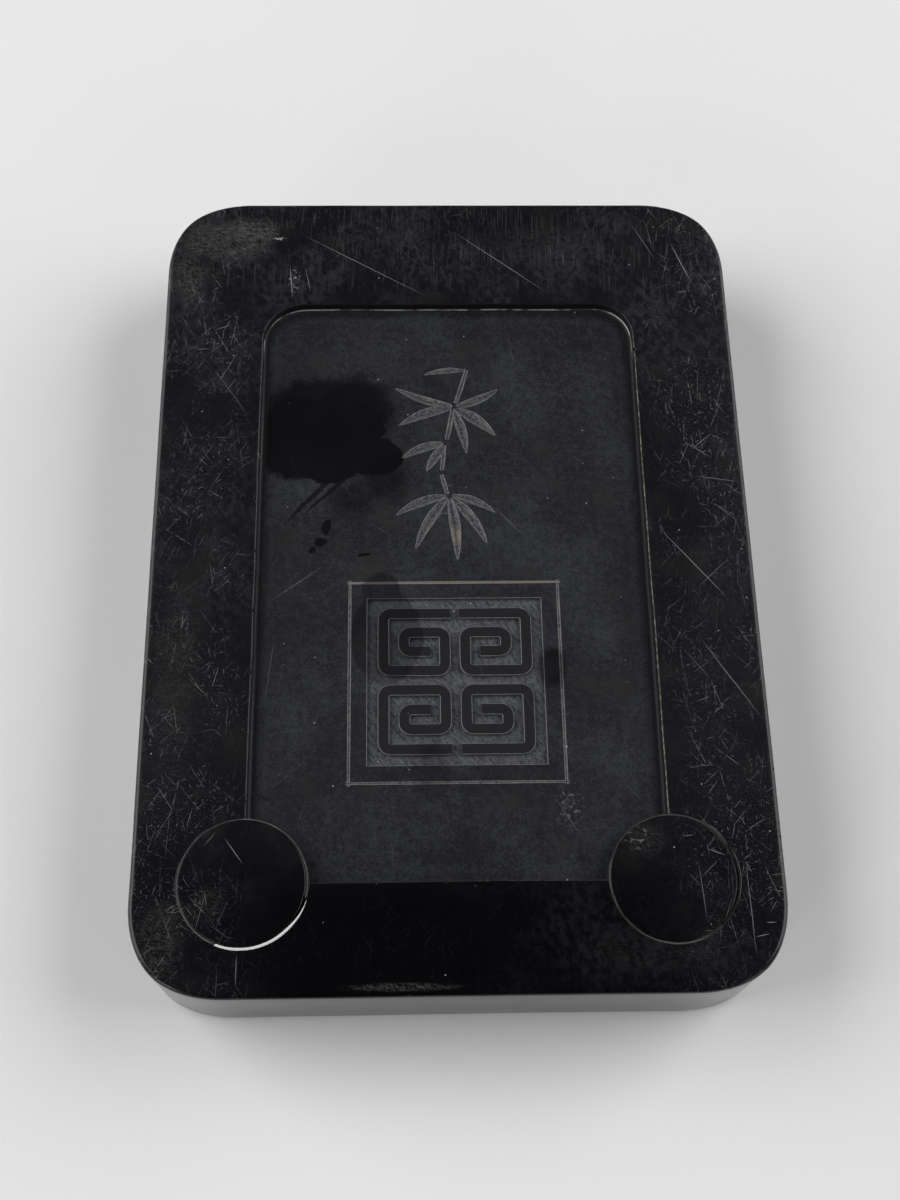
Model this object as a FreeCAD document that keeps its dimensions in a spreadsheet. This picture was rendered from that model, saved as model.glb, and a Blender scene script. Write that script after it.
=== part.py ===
"""Inkstone lying on its grinding face: a carved slate slab with two round stone discs let into its back.

Frame: millimetres, +Z up out of the carved back, +Y towards the ink-well end, origin at the middle of
the face that the stone lies on.
"""
import FreeCAD, Part
import math
import os
import re

import Sketcher
from FreeCAD import Placement, Rotation, Vector

X_AXIS = Vector(1, 0, 0)
Z_AXIS = Vector(0, 0, 1)
TINY = 0.01  # tolerance for finding an edge by its height

# Driving dimensions, in millimetres and degrees.
SIZES = {
    # slab
    "stone_width": 105.0,
    "stone_length": 150.0,
    "stone_height": 20.0,
    "corner_radius": 13.5,
    "back_arris": 0.9,
    "face_arris": 1.4,
    # sunk panel in the back
    "panel_half_width": 34.3,
    "panel_far": 52.0,
    "panel_near": 57.0,
    "panel_corner": 7.0,
    "panel_depth": 2.3,
    # round discs let into the back at the panel's near corners
    "disc_out": 34.5,
    "disc_near": 56.9,
    "disc_radius": 10.2,
    "disc_height": 4.4,
    "disc_edge": 0.15,
    "disc_shift": 0.13,
    "socket_radius": 10.6,
    "bed_height": 0.6,
    "seam_sink": 0.15,
    "filler_depth": 1.3,
    "filler_start": 245.0,
    "filler_sweep": 100.0,
    "gap_depth": 1.0,
    "gap_start": 312.0,
    "gap_sweep": 78.0,
    # square seal field on the panel
    "seal_x": 0.15,
    "seal_y": -22.0,
    "border_half": 18.05,
    "border_groove": 0.48,
    "border_run_past": 0.35,
    "ground_half": 15.05,
    "ground_depth": 0.7,
    "fret_bar": 1.9,
    "fret_gap": 1.6,
    # hollow in the grinding face
    "hollow_half_width": 44.0,
    "hollow_half_length": 65.5,
    "hollow_corner": 9.0,
    "slope_near_depth": 1.8,
    "slope_far_depth": 3.0,
    "slope_end": 20.0,
    "well_start": 44.0,
    "well_depth": 9.0,
    "brow_radius": 30.0,
    "well_radius": 5.0,
    # how far a cutter stands out of the surface that it cuts
    "overcut": 0.2,
}

# Leaves of the engraved bamboo spray: root x, root y, tip x, tip y, greatest width.
LEAVES = (
    (0.6, 31.4, -9.9, 35.2, 1.5),
    (0.4, 31.0, -9.2, 27.4, 1.9),
    (1.2, 31.3, 8.9, 34.8, 1.6),
    (1.0, 30.8, 8.2, 25.2, 2.0),
    (0.8, 30.4, 2.9, 21.6, 1.7),
    (-1.2, 23.6, -8.8, 20.6, 1.7),
    (-1.0, 23.2, -4.3, 17.9, 1.6),
    (2.9, 38.9, -4.6, 38.0, 1.1),
    (-0.8, 12.9, -9.8, 9.2, 1.7),
    (-0.7, 12.6, -6.4, 2.6, 1.8),
    (-0.3, 12.4, 0.9, 0.4, 1.8),
    (0.0, 12.7, 6.1, 3.6, 1.7),
    (0.2, 13.1, 7.8, 9.6, 1.4),
)
# Lengths of the engraved stem between its joints: start x, start y, end x, end y, width.
STEM = (
    (3.3, 39.2, 1.1, 31.9, 0.75),
    (0.6, 30.9, -0.6, 24.4, 0.8),
    (-1.1, 23.3, -1.6, 18.1, 0.7),
    (-1.7, 17.3, -0.7, 13.3, 0.7),
)

doc = FreeCAD.newDocument("inkstone")


# ---------------------------------------------------------------- spreadsheet and binding

def make_sheet():
    """Write the driving dimensions into a spreadsheet, one alias each."""
    sheet = doc.addObject("Spreadsheet::Sheet", "Sizes")
    for row, (alias, value) in enumerate(SIZES.items(), start=1):
        sheet.set(f"A{row}", alias)
        sheet.set(f"B{row}", str(value))
        sheet.setAlias(f"B{row}", alias)
    doc.recompute()


def from_sheet(text):
    """Give an expression with the sheet's name put before each alias."""
    return re.sub(r"[a-z_]+", lambda found: f"Sizes.{found[0]}" if found[0] in SIZES else found[0], text)


def bind(thing, **expressions):
    """Drive properties from the sheet; __ in a keyword stands for a dot in the property's path."""
    for name, text in expressions.items():
        thing.setExpression(name.replace("__", "."), from_sheet(text))


def add(kind, name, **expressions):
    """Add an object to the document and drive its properties from the sheet."""
    thing = doc.addObject(kind, name)
    bind(thing, **expressions)
    return thing


def place(thing, x, y, z):
    """Drive an object's position from the sheet."""
    bind(thing, Placement__Base__x=x, Placement__Base__y=y, Placement__Base__z=z)
    return thing


def fuse(name, pieces):
    """Join pieces into one shape."""
    fusion = doc.addObject("Part::MultiFuse", name)
    fusion.Shapes = pieces
    return fusion


def boolean(kind, name, base, tool):
    """Make a Part::Cut or Part::Common of two objects."""
    result = doc.addObject(kind, name)
    result.Base = base
    result.Tool = tool
    return result


# ---------------------------------------------------------------- sketches and features

def origin_plane(body, role):
    """Find the body's own origin plane that has this role."""
    return next(plane for plane in body.Origin.OriginFeatures if plane.Role == role)


def add_sketch(body, name, role="XY_Plane", height=None):
    """Attach a sketch to an origin plane of the body, raised where a height is given."""
    sketch = body.newObject("Sketcher::SketchObject", name)
    sketch.AttachmentSupport = [(origin_plane(body, role), "")]
    sketch.MapMode = "FlatFace"
    if height:
        bind(sketch, AttachmentOffset__Base__z=height)
    return sketch


def drive(sketch, constraint, name, text):
    """Add a named constraint and drive its value from the sheet."""
    index = sketch.addConstraint(constraint)
    sketch.renameConstraint(index, name)
    bind(sketch, **{f"Constraints__{name}": text})


def draw_loop(sketch, points):
    """Draw a closed loop of lines through the points."""
    for start, end in zip(points, points[1:] + points[:1]):
        sketch.addGeometry(Part.LineSegment(Vector(*start, 0), Vector(*end, 0)))
    for index in range(len(points)):
        following = (index + 1) % len(points)
        sketch.addConstraint(Sketcher.Constraint("Coincident", index, 2, following, 1))


def draw_box(sketch, left, right, near, far):
    """Draw a rectangle from its four sides' distances to the sketch's origin."""
    draw_loop(sketch, [(-1, -1), (1, -1), (1, 1), (-1, 1)])
    for index, kind in enumerate(("Horizontal", "Vertical", "Horizontal", "Vertical")):
        sketch.addConstraint(Sketcher.Constraint(kind, index))
    drive(sketch, Sketcher.Constraint("DistanceX", 0, 1, -1, 1, 1.0), "left", left)
    drive(sketch, Sketcher.Constraint("DistanceX", -1, 1, 0, 2, 1.0), "right", right)
    drive(sketch, Sketcher.Constraint("DistanceY", 0, 1, -1, 1, 1.0), "near", near)
    drive(sketch, Sketcher.Constraint("DistanceY", -1, 1, 2, 1, 1.0), "far", far)


def draw_circle(sketch, name, side, out, near, radius):
    """Draw a circle on the left (-1) or right (+1) of the sketch's origin, towards its near end."""
    index = sketch.addGeometry(Part.Circle(Vector(side, -1, 0), Z_AXIS, 1.0))
    across = (index, 3, -1, 1) if side < 0 else (-1, 1, index, 3)
    drive(sketch, Sketcher.Constraint("DistanceX", *across, 1.0), f"{name}_out", out)
    drive(sketch, Sketcher.Constraint("DistanceY", index, 3, -1, 1, 1.0), f"{name}_near", near)
    drive(sketch, Sketcher.Constraint("Radius", index, 1.0), f"{name}_radius", radius)


def pad(body, sketch, name, length):
    """Raise a sketch by a length."""
    feature = body.newObject("PartDesign::Pad", name)
    feature.Profile = sketch
    bind(feature, Length=length)
    doc.recompute()
    return feature


def pocket(body, sketch, name, depth):
    """Sink a sketch by a depth and check that stone was removed."""
    before = body.Shape.Volume
    feature = body.newObject("PartDesign::Pocket", name)
    feature.Profile = sketch
    bind(feature, Length=depth)
    doc.recompute()
    assert body.Shape.Volume < before, f"{name} removes nothing"
    return feature


def round_edges(body, name, radius, wanted):
    """Round each edge of the body that the test picks out."""
    tip = body.Tip
    edges = [f"Edge{index}" for index, edge in enumerate(tip.Shape.Edges, start=1) if wanted(edge)]
    assert edges, f"{name} finds no edge"
    fillet = body.newObject("PartDesign::Fillet", name)
    fillet.Base = (tip, edges)
    bind(fillet, Radius=radius)
    doc.recompute()


def at_height(height):
    """Pick edges that lie wholly at one height."""
    return lambda edge: (abs(edge.BoundBox.ZMin - height) < TINY
                         and abs(edge.BoundBox.ZMax - height) < TINY)


def upright(edge):
    """Pick edges that run straight up."""
    return edge.BoundBox.XLength < TINY and edge.BoundBox.YLength < TINY


def crosswise(y, z):
    """Pick the edge that runs along X through the place that these two sizes give."""
    place_yz = Vector(0, SIZES[y], SIZES[z])
    return lambda edge: (edge.BoundBox.YLength + edge.BoundBox.ZLength < TINY
                         and edge.BoundBox.Center.distanceToPoint(place_yz) < TINY)


# ---------------------------------------------------------------- the slab

def make_blank():
    """Make the slab with its sunk panel, disc sockets and the sunk ground of its seal."""
    body = doc.addObject("PartDesign::Body", "stone_blank")
    outline = add_sketch(body, "outline")
    draw_box(outline, "stone_width / 2", "stone_width / 2", "stone_length / 2", "stone_length / 2")
    pad(body, outline, "slab", "stone_height")
    round_edges(body, "corners", "corner_radius", upright)
    round_edges(body, "back_edge", "back_arris", at_height(SIZES["stone_height"]))
    round_edges(body, "face_edge", "face_arris", at_height(0.0))

    panel = add_sketch(body, "panel_outline", height="stone_height")
    draw_box(panel, "panel_half_width", "panel_half_width", "panel_near", "panel_far")
    pocket(body, panel, "panel", "panel_depth")
    round_edges(body, "panel_corners", "panel_corner",
                lambda edge: upright(edge) and abs(edge.BoundBox.YMin - SIZES["panel_far"]) < TINY)

    sockets = add_sketch(body, "socket_circles", height="stone_height")
    for name, side in (("left", -1), ("right", 1)):
        draw_circle(sockets, name, side, "disc_out", "disc_near", "socket_radius")
    pocket(body, sockets, "sockets", "disc_height + bed_height")

    ground = add_sketch(body, "seal_outline", height="stone_height - panel_depth")
    draw_box(ground, "ground_half - seal_x", "ground_half + seal_x",
             "ground_half - seal_y", "ground_half + seal_y")
    pocket(body, ground, "seal_ground", "ground_depth")
    return body


# ---------------------------------------------------------------- seal

def fret_bars():
    """Give the bars of the seal's four squared spirals as expressions: low x, low y, x and y extent.

    Each spiral fills a quarter of the seal with four bars and three gaps across. It starts beside the
    middle, goes round the outside of its quarter, turns inwards and is mirrored into the other three.
    """
    step = "( fret_bar + fret_gap )"
    inner = "fret_gap / 2"
    reach = "( 4 * fret_bar + 3.5 * fret_gap )"
    whole = f"{reach} - {inner}"
    quarter = (
        (inner, f"{reach} - fret_bar", whole, "fret_bar"),
        (f"{reach} - fret_bar", inner, "fret_bar", whole),
        (inner, inner, whole, "fret_bar"),
        (inner, inner, "fret_bar", f"{whole} - {step}"),
        (inner, f"{reach} - fret_bar - {step}", f"{whole} - {step}", "fret_bar"),
        (f"{reach} - fret_bar - {step}", f"{inner} + {step}", "fret_bar", f"{whole} - 2 * {step}"),
        (f"{inner} + {step}", f"{inner} + {step}", f"{whole} - 2 * {step}", "fret_bar"),
    )
    for column in (-1, 1):
        for row in (-1, 1):
            for low_x, low_y, across, along in quarter:
                x = f"seal_x + {low_x}" if column > 0 else f"seal_x - ( {low_x} ) - ( {across} )"
                y = f"seal_y + {low_y}" if row > 0 else f"seal_y - ( {low_y} ) - ( {along} )"
                yield x, y, across, along


def make_fret():
    """Stand the fret's bars on the sunk ground, level with the panel."""
    bars = []
    for number, (x, y, across, along) in enumerate(fret_bars(), start=1):
        bar = add("Part::Box", f"fret_bar_{number}", Length=across, Width=along,
                  Height="ground_depth + overcut")
        place(bar, x, y, "stone_height - panel_depth - ground_depth - overcut")
        bars.append(bar)
    return fuse("fret", bars)


def v_groove(name, start, end, width, run_past="0"):
    """Make a straight V cutter with hipped ends, its sides at 45 degrees to the panel."""
    run = Vector(*end, 0) - Vector(*start, 0)
    groove = add("Part::Wedge", name,
                 Xmin=f"-( {run_past} ) - overcut", Xmax=f"{run.Length} + {run_past} + overcut",
                 Zmin=f"-( {width} ) / 2 - overcut", Zmax=f"( {width} ) / 2 + overcut",
                 X2min=f"( {width} ) / 2 - ( {run_past} )",
                 X2max=f"{run.Length} - ( {width} ) / 2 + {run_past}",
                 Ymax=f"( {width} ) / 2 + overcut")
    groove.Ymin = 0
    groove.Z2min = 0
    groove.Z2max = 0
    heading = math.degrees(math.atan2(run.y, run.x))
    turn = Rotation(Z_AXIS, heading) * Rotation(X_AXIS, -90)
    groove.Placement = Placement(Vector(*start, 0), turn)
    bind(groove, Placement__Base__z="stone_height - panel_depth + overcut")
    return groove


def make_border():
    """Cut the seal's square border as four V grooves that run a little past each other."""
    half = SIZES["border_half"]
    corners = [(SIZES["seal_x"] + half * x, SIZES["seal_y"] + half * y)
               for x, y in ((-1, -1), (1, -1), (1, 1), (-1, 1))]
    return [v_groove(f"border_{number}", start, end, "border_groove", "border_run_past")
            for number, (start, end) in enumerate(zip(corners, corners[1:] + corners[:1]), start=1)]


# ---------------------------------------------------------------- engraved spray

def leaf_cutter(number, root_x, root_y, tip_x, tip_y, width):
    """Make a pointed V cutter: the part that two wide cones share, its sides at 45 degrees."""
    run = Vector(tip_x - root_x, tip_y - root_y, 0)
    radius = (run.Length ** 2 / 4 + width ** 2 / 4) / width
    side = Vector(-run.y, run.x, 0).normalize()
    middle = Vector((root_x + tip_x) / 2, (root_y + tip_y) / 2, 0)
    cones = []
    for index, sign in enumerate((-1, 1)):
        cone = add("Part::Cone", f"leaf_{number}_side_{index}",
                   Radius1=f"{radius} - {width}", Radius2=f"{radius} + overcut",
                   Height=f"{width} + overcut")
        cone.Placement = Placement(middle + side * (sign * (radius - width / 2)), Rotation())
        bind(cone, Placement__Base__z=f"stone_height - panel_depth - {width}")
        cones.append(cone)
    return boolean("Part::Common", f"leaf_{number}", *cones)


def make_spray():
    """Make the cutters of the bamboo spray: its leaves, and the stem between its joints."""
    leaves = [leaf_cutter(number, *leaf) for number, leaf in enumerate(LEAVES, start=1)]
    stem = [v_groove(f"stem_{number}", (x1, y1), (x2, y2), str(width))
            for number, (x1, y1, x2, y2, width) in enumerate(STEM, start=1)]
    return leaves + stem


# ---------------------------------------------------------------- grinding face

def make_hollow():
    """Make the cutter of the grinding face: a slope that falls over a brow into the ink well."""
    plan = doc.addObject("PartDesign::Body", "hollow_plan")
    outline = add_sketch(plan, "hollow_outline", height="-overcut")
    draw_box(outline, "hollow_half_width", "hollow_half_width",
             "hollow_half_length", "hollow_half_length")
    pad(plan, outline, "hollow_block", "well_depth + 2 * overcut")
    round_edges(plan, "hollow_corners", "hollow_corner", upright)

    along = doc.addObject("PartDesign::Body", "hollow_profile")
    profile = add_sketch(along, "slope_profile", role="YZ_Plane")
    points = (
        ("-hollow_half_length - overcut", "-overcut"),
        ("-hollow_half_length - overcut", "slope_near_depth"),
        ("slope_end", "slope_far_depth"),
        ("well_start", "well_depth"),
        ("hollow_half_length + overcut", "well_depth"),
        ("hollow_half_length + overcut", "-overcut"),
    )
    draw_loop(profile, [(index, index * index) for index in range(len(points))])
    for index, (y, z) in enumerate(points):
        drive(profile, Sketcher.Constraint("DistanceX", -1, 1, index, 1, 1.0), f"y{index}", y)
        drive(profile, Sketcher.Constraint("DistanceY", -1, 1, index, 1, 1.0), f"z{index}", z)
    trough = pad(along, profile, "trough", "2 * hollow_half_width + 2 * overcut")
    trough.Midplane = True
    doc.recompute()
    round_edges(along, "brow", "brow_radius", crosswise("slope_end", "slope_far_depth"))
    round_edges(along, "well_foot", "well_radius", crosswise("well_start", "well_depth"))
    return boolean("Part::Common", "hollow", plan, along)


def make_stone():
    """Carve the slab: raise the fret on its ground, then cut the grooves and the grinding hollow."""
    carved = fuse("blank_with_fret", [make_blank(), make_fret()])
    cutters = fuse("carving", make_border() + make_spray() + [make_hollow()])
    return boolean("Part::Cut", "stone_body", carved, cutters)


# ---------------------------------------------------------------- discs, bedding and filler

SIDES = {
    # name of the side, its sign, and which way the disc sits off the middle of its socket
    "left": (-1, (-1.0, 1.0)),
    "right": (1, (-1.3, 0.0)),
}


def disc_place(side):
    """Give the expressions of a disc's middle: x and y."""
    sign, (shift_x, shift_y) = SIDES[side]
    return f"{sign} * disc_out + {shift_x} * disc_shift", f"-disc_near + {shift_y} * disc_shift"


def make_disc(side):
    """Make a round stone disc that stands level with the rim, its top edge broken."""
    body = doc.addObject("PartDesign::Body", f"{side}_corner_disc")
    sketch = add_sketch(body, f"{side}_disc_circle", height="stone_height - disc_height")
    circle = sketch.addGeometry(Part.Circle(Vector(0, 0, 0), Z_AXIS, 1.0))
    sketch.addConstraint(Sketcher.Constraint("Coincident", circle, 3, -1, 1))
    drive(sketch, Sketcher.Constraint("Radius", circle, 1.0), "radius", "disc_radius")
    pad(body, sketch, f"{side}_disc", "disc_height")
    round_edges(body, f"{side}_disc_edge", "disc_edge", at_height(SIZES["stone_height"]))
    x, y = disc_place(side)
    place(body, x, y, "0")
    return body


def socket_tool(name, side, height, low):
    """Make a cylinder on the socket's axis, from a low height up by a height."""
    sign = SIDES[side][0]
    tool = add("Part::Cylinder", name, Radius="socket_radius", Height=height)
    return place(tool, f"{sign} * disc_out", "-disc_near", low)


def make_bedding(side, depth, start, sweep):
    """Make the cement that beds a disc: a cup round it, lower where its seam is filled or empty."""
    cup = socket_tool(f"{side}_cup", side, "disc_height + bed_height - seam_sink",
                      "stone_height - disc_height - bed_height")
    room = add("Part::Cylinder", f"{side}_disc_room", Radius="disc_radius", Height="disc_height")
    x, y = disc_place(side)
    place(room, x, y, "stone_height - disc_height")
    notch = socket_tool(f"{side}_notch", side, f"{depth} + overcut", f"stone_height - {depth}")
    bind(notch, Angle=sweep, Radius="socket_radius + overcut")
    notch.Placement.Rotation = Rotation(Z_AXIS, SIZES[start])
    return boolean("Part::Cut", f"{side}_disc_bedding", cup, fuse(f"{side}_spaces", [room, notch]))


def make_filler():
    """Make the pale filler pressed into the wide side of the left disc's seam: a thin crescent."""
    wedge = socket_tool("filler_sector", "left", "filler_depth", "stone_height - filler_depth")
    bind(wedge, Angle="filler_sweep")
    wedge.Placement.Rotation = Rotation(Z_AXIS, SIZES["filler_start"])
    inside = add("Part::Cylinder", "filler_disc_room", Radius="disc_radius",
                 Height="filler_depth + 2 * overcut")
    x, y = disc_place("left")
    place(inside, x, y, "stone_height - filler_depth - overcut")
    return boolean("Part::Cut", "left_seam_filler", wedge, inside)


# ---------------------------------------------------------------- checks and files

def check_document():
    """Stop if any object of the document failed to recompute."""
    doc.recompute()
    for thing in doc.Objects:
        assert not {"Invalid", "Error"} & set(thing.State), f"{thing.Name}: {thing.State}"


def write_parts(pieces):
    """Write each piece's shape to a file named after its label."""
    os.makedirs("parts", exist_ok=True)
    for piece in pieces:
        shape = piece.Shape
        assert not shape.isNull() and shape.isValid(), f"{piece.Label} has no valid shape"
        assert len(shape.Solids) == 1, f"{piece.Label} has {len(shape.Solids)} solids"
        shape.exportStep(f"parts/{piece.Label}.step")
        print(f"{piece.Label}: {shape.Volume:.1f} mm3, {len(shape.Faces)} faces")


make_sheet()
stone = make_stone()
discs = [make_disc("left"), make_disc("right")]
bedding = [
    make_bedding("left", "filler_depth", "filler_start", "filler_sweep"),
    make_bedding("right", "gap_depth", "gap_start", "gap_sweep"),
]
filler = make_filler()
check_document()
write_parts([stone, *discs, *bedding, filler])
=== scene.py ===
"""Inkstone lying carved back up: a slate slab, two let-in discs, their cement and a white filler.

The slab is worked as a carver works it. The block is sawn and its arrises eased, the panel is
sunk, the grinding face is hollowed, the disc sockets are bored, the seal and the bamboo spray are
engraved, and a few chips are knocked off the edges. Each cut is a solid of its own with a broken
edge, and is taken from the block in turn.

Sizes are millimetres in the model's own frame. Meshes are written in metres.
"""

import logging
import math
from dataclasses import dataclass
from enum import Enum
from typing import Any, Iterable, Sequence

import bmesh
import bpy
from mathutils import Matrix, Vector, noise


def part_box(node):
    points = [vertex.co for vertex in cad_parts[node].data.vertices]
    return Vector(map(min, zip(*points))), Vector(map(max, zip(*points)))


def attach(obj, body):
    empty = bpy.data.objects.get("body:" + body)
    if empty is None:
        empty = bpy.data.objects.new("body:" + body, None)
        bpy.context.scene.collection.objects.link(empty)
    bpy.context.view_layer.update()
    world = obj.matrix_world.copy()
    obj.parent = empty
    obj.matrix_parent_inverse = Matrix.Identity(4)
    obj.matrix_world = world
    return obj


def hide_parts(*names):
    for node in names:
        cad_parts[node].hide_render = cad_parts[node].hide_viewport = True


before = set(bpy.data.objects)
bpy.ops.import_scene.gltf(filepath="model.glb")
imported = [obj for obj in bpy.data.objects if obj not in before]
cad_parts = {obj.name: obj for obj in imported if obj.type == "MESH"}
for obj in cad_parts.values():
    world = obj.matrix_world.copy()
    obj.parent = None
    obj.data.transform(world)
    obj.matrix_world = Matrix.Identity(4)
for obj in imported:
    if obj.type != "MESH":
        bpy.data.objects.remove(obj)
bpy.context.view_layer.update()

MM = 0.001
SMOOTH_BELOW = math.radians(14)

Point = tuple[float, float]
Tone = tuple[float, float, float]
Ring = list[Vector]
Object = bpy.types.Object
Socket = bpy.types.NodeSocket
Material = bpy.types.Material

log = logging.getLogger("inkstone")


class Side(Enum):
    """Which of the two near corners a disc is let into; the value is the sign of its x."""

    LEFT = -1
    RIGHT = 1


# ---------------- node trees


class Value:
    """A number socket of a node tree, on which Python's arithmetic adds Math nodes."""

    def __init__(self, tree: "Tree", socket: Socket) -> None:
        """Wrap a socket of a tree."""
        self.tree = tree
        self.socket = socket

    def math(self, operation: str, *others: "Value | float") -> "Value":
        """Add a Math node that works on this value and the others."""
        values = dict(enumerate((self, *others)))
        return self.tree.value("ShaderNodeMath", {"operation": operation}, values)

    def __add__(self, other: "Value | float") -> "Value":
        """Add."""
        return self.math("ADD", other)

    def __sub__(self, other: "Value | float") -> "Value":
        """Subtract."""
        return self.math("SUBTRACT", other)

    def __mul__(self, other: "Value | float") -> "Value":
        """Multiply."""
        return self.math("MULTIPLY", other)

    def __rsub__(self, other: float) -> "Value":
        """Subtract this from a number."""
        return self.tree.value("ShaderNodeMath", {"operation": "SUBTRACT"}, {0: other, 1: self})

    __radd__ = __add__
    __rmul__ = __mul__

    def __abs__(self) -> "Value":
        """Drop the sign."""
        return self.math("ABSOLUTE")

    def most(self, other: "Value | float") -> "Value":
        """Give the larger."""
        return self.math("MAXIMUM", other)

    def least(self, other: "Value | float") -> "Value":
        """Give the smaller."""
        return self.math("MINIMUM", other)

    def root(self) -> "Value":
        """Give the square root."""
        return self.math("SQRT")

    def smooth(self, start: float, end: float, full: float = 1.0) -> "Value":
        """Rise softly from 0 at start to full at end; start may be the higher of the two."""
        ends = (start, end, 0.0, full) if start < end else (end, start, full, 0.0)
        names = ("From Min", "From Max", "To Min", "To Max")
        inputs = {"Value": self, **dict(zip(names, ends))}
        return self.tree.value("ShaderNodeMapRange", {"interpolation_type": "SMOOTHSTEP"}, inputs)

    def near(self, middle: float, reach: float, full: float = 1.0) -> "Value":
        """Be full at the middle and fall softly to 0 a reach away on both sides."""
        return abs(self - middle).smooth(reach, 0.0, full)


class Tree:
    """Writes nodes into a node tree, in the order in which they work."""

    def __init__(self, nodes: bpy.types.NodeTree) -> None:
        """Start writing into a tree."""
        self.nodes = nodes

    def node(self, kind: str, settings: dict[str, Any], inputs: dict[Any, Any]) -> bpy.types.Node:
        """Add a node.

        Args:
            kind: the node's type.
            settings: properties of the node, which are set before its sockets.
            inputs: values, sockets or wrapped values by the socket's name or number.

        Returns:
            The node.
        """
        node = self.nodes.nodes.new(kind)
        for name, setting in settings.items():
            setattr(node, name, setting)
        for key, given in inputs.items():
            source = given.socket if isinstance(given, Value) else given
            if isinstance(source, Socket):
                self.nodes.links.new(source, node.inputs[key])
            else:
                node.inputs[key].default_value = source
        return node

    def value(self, kind: str, settings: dict[str, Any], inputs: dict[Any, Any],
              output: str | int = 0) -> Value:
        """Add a node and wrap one of its outputs."""
        return Value(self, self.node(kind, settings, inputs).outputs[output])


class Paint(Tree):
    """A material that is written as expressions on the object's own millimetres."""

    def __init__(self, name: str) -> None:
        """Make a material with one glossy shader and read the place on the object."""
        self.material = bpy.data.materials.new(name)
        self.material.use_nodes = True
        super().__init__(self.material.node_tree)
        self.shader = self.nodes.nodes["Principled BSDF"]
        metres = self.node("ShaderNodeTexCoord", {}, {}).outputs["Object"]
        scaled = self.node("ShaderNodeVectorMath", {"operation": "SCALE"},
                           {0: metres, "Scale": 1 / MM})
        self.place = scaled.outputs[0]
        axes = self.node("ShaderNodeSeparateXYZ", {}, {0: self.place})
        self.x, self.y, self.z = (Value(self, socket) for socket in axes.outputs)

    def laid(self, size: Sequence[float], turn: float = 0.0, shift: Sequence[float] = (0, 0, 0),
             at: Socket | None = None) -> Socket:
        """Give the place measured in units of a size, along axes that are turned about Z.

        Args:
            size: the unit along each turned axis, in millimetres.
            turn: how far the axes are turned, in degrees.
            shift: where the pattern is centred.
            at: the place to measure, if it isn't the object's own.

        Returns:
            A vector socket.
        """
        inputs = {"Vector": at or self.place, "Location": shift, "Scale": size,
                  "Rotation": (0, 0, math.radians(turn))}
        return self.node("ShaderNodeMapping", {"vector_type": "TEXTURE"}, inputs).outputs[0]

    def oval(self, middle: Point, reach: Point, at: Socket) -> Value:
        """Give the distance in plan from a middle, 1 being the edge of an ellipse."""
        plan = self.laid((*reach, 1e9), 0.0, (*middle, 0.0), at)
        return self.value("ShaderNodeVectorMath", {"operation": "LENGTH"}, {0: plan}, "Value")

    def cloud(self, size: float | Sequence[float], turn: float = 0.0, detail: float = 2.0,
              seed: float = 0.0, at: Socket | None = None) -> Value:
        """Give smooth noise round 0.5 with features of a size, stretched along turned axes."""
        size = (size,) * 3 if isinstance(size, (int, float)) else size
        place = self.laid(size, turn, (17.3 * seed, -11.9 * seed, 5.1 * seed), at)
        inputs = {"Vector": place, "Scale": 1.0, "Detail": detail}
        return self.value("ShaderNodeTexNoise", {}, inputs)

    def warped(self, size: float, reach: float) -> Socket:
        """Give the object's place pushed about by noise of a size, by up to a reach."""
        source = self.laid((size,) * 3)
        push = self.node("ShaderNodeTexNoise", {}, {"Vector": source, "Scale": 1.0, "Detail": 3.0})
        centred = self.node("ShaderNodeVectorMath", {"operation": "SUBTRACT"},
                            {0: push.outputs["Color"], 1: (0.5, 0.5, 0.5)})
        scaled = self.node("ShaderNodeVectorMath", {"operation": "SCALE"},
                           {0: centred.outputs[0], "Scale": reach * 2})
        return self.node("ShaderNodeVectorMath", {"operation": "ADD"},
                         {0: self.place, 1: scaled.outputs[0]}).outputs[0]

    def split(self, place: Socket) -> tuple[Value, Value, Value]:
        """Give the three numbers of a vector."""
        numbers = self.node("ShaderNodeSeparateXYZ", {}, {0: place}).outputs
        return tuple(Value(self, number) for number in numbers)

    def hairs(self, turn: float, length: float, width: float, cut: float, seed: float) -> Value:
        """Give fine straight marks that all run one way.

        Args:
            turn: their direction in degrees from X.
            length: their usual length.
            width: their usual width.
            cut: how high the noise must be to mark, so that a higher cut leaves fewer.
            seed: which marks.
        """
        return self.cloud((length, width, width * 3), turn, 1.0, seed).smooth(cut, cut + 0.07)

    def cells(self, spacing: float, seed: float) -> tuple[Value, Value, Value, Value, Value]:
        """Split the plan into random cells.

        Args:
            spacing: the usual distance between the cells' middles, in millimetres.
            seed: which cells.

        Returns:
            The place from the cell's own middle, as two numbers, and its three random numbers.
        """
        place = self.laid((spacing,) * 3, 0.0, (7.7 * seed, 3.1 * seed, 0.0))
        cell = self.node("ShaderNodeTexVoronoi", {"voronoi_dimensions": "2D"},
                         {"Vector": place, "Scale": 1.0})
        away = self.node("ShaderNodeVectorMath", {"operation": "SUBTRACT"},
                         {0: place, 1: cell.outputs["Position"]})
        off_x, off_y, _ = self.split(away.outputs[0])
        picks = self.node("ShaderNodeSeparateColor", {}, {0: cell.outputs["Color"]}).outputs
        return (off_x * spacing, off_y * spacing, *(Value(self, pick) for pick in picks))

    def specks(self, spacing: float, radius: float, share: float, seed: float) -> Value:
        """Give round specks of up to a radius, in a share of random cells."""
        off_x, off_y, pick, _, _ = self.cells(spacing, seed)
        size = pick.smooth(1 - share, 1.0) * radius
        return (size - (off_x * off_x + off_y * off_y).root()).smooth(0.0, 0.3 * radius)

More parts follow.
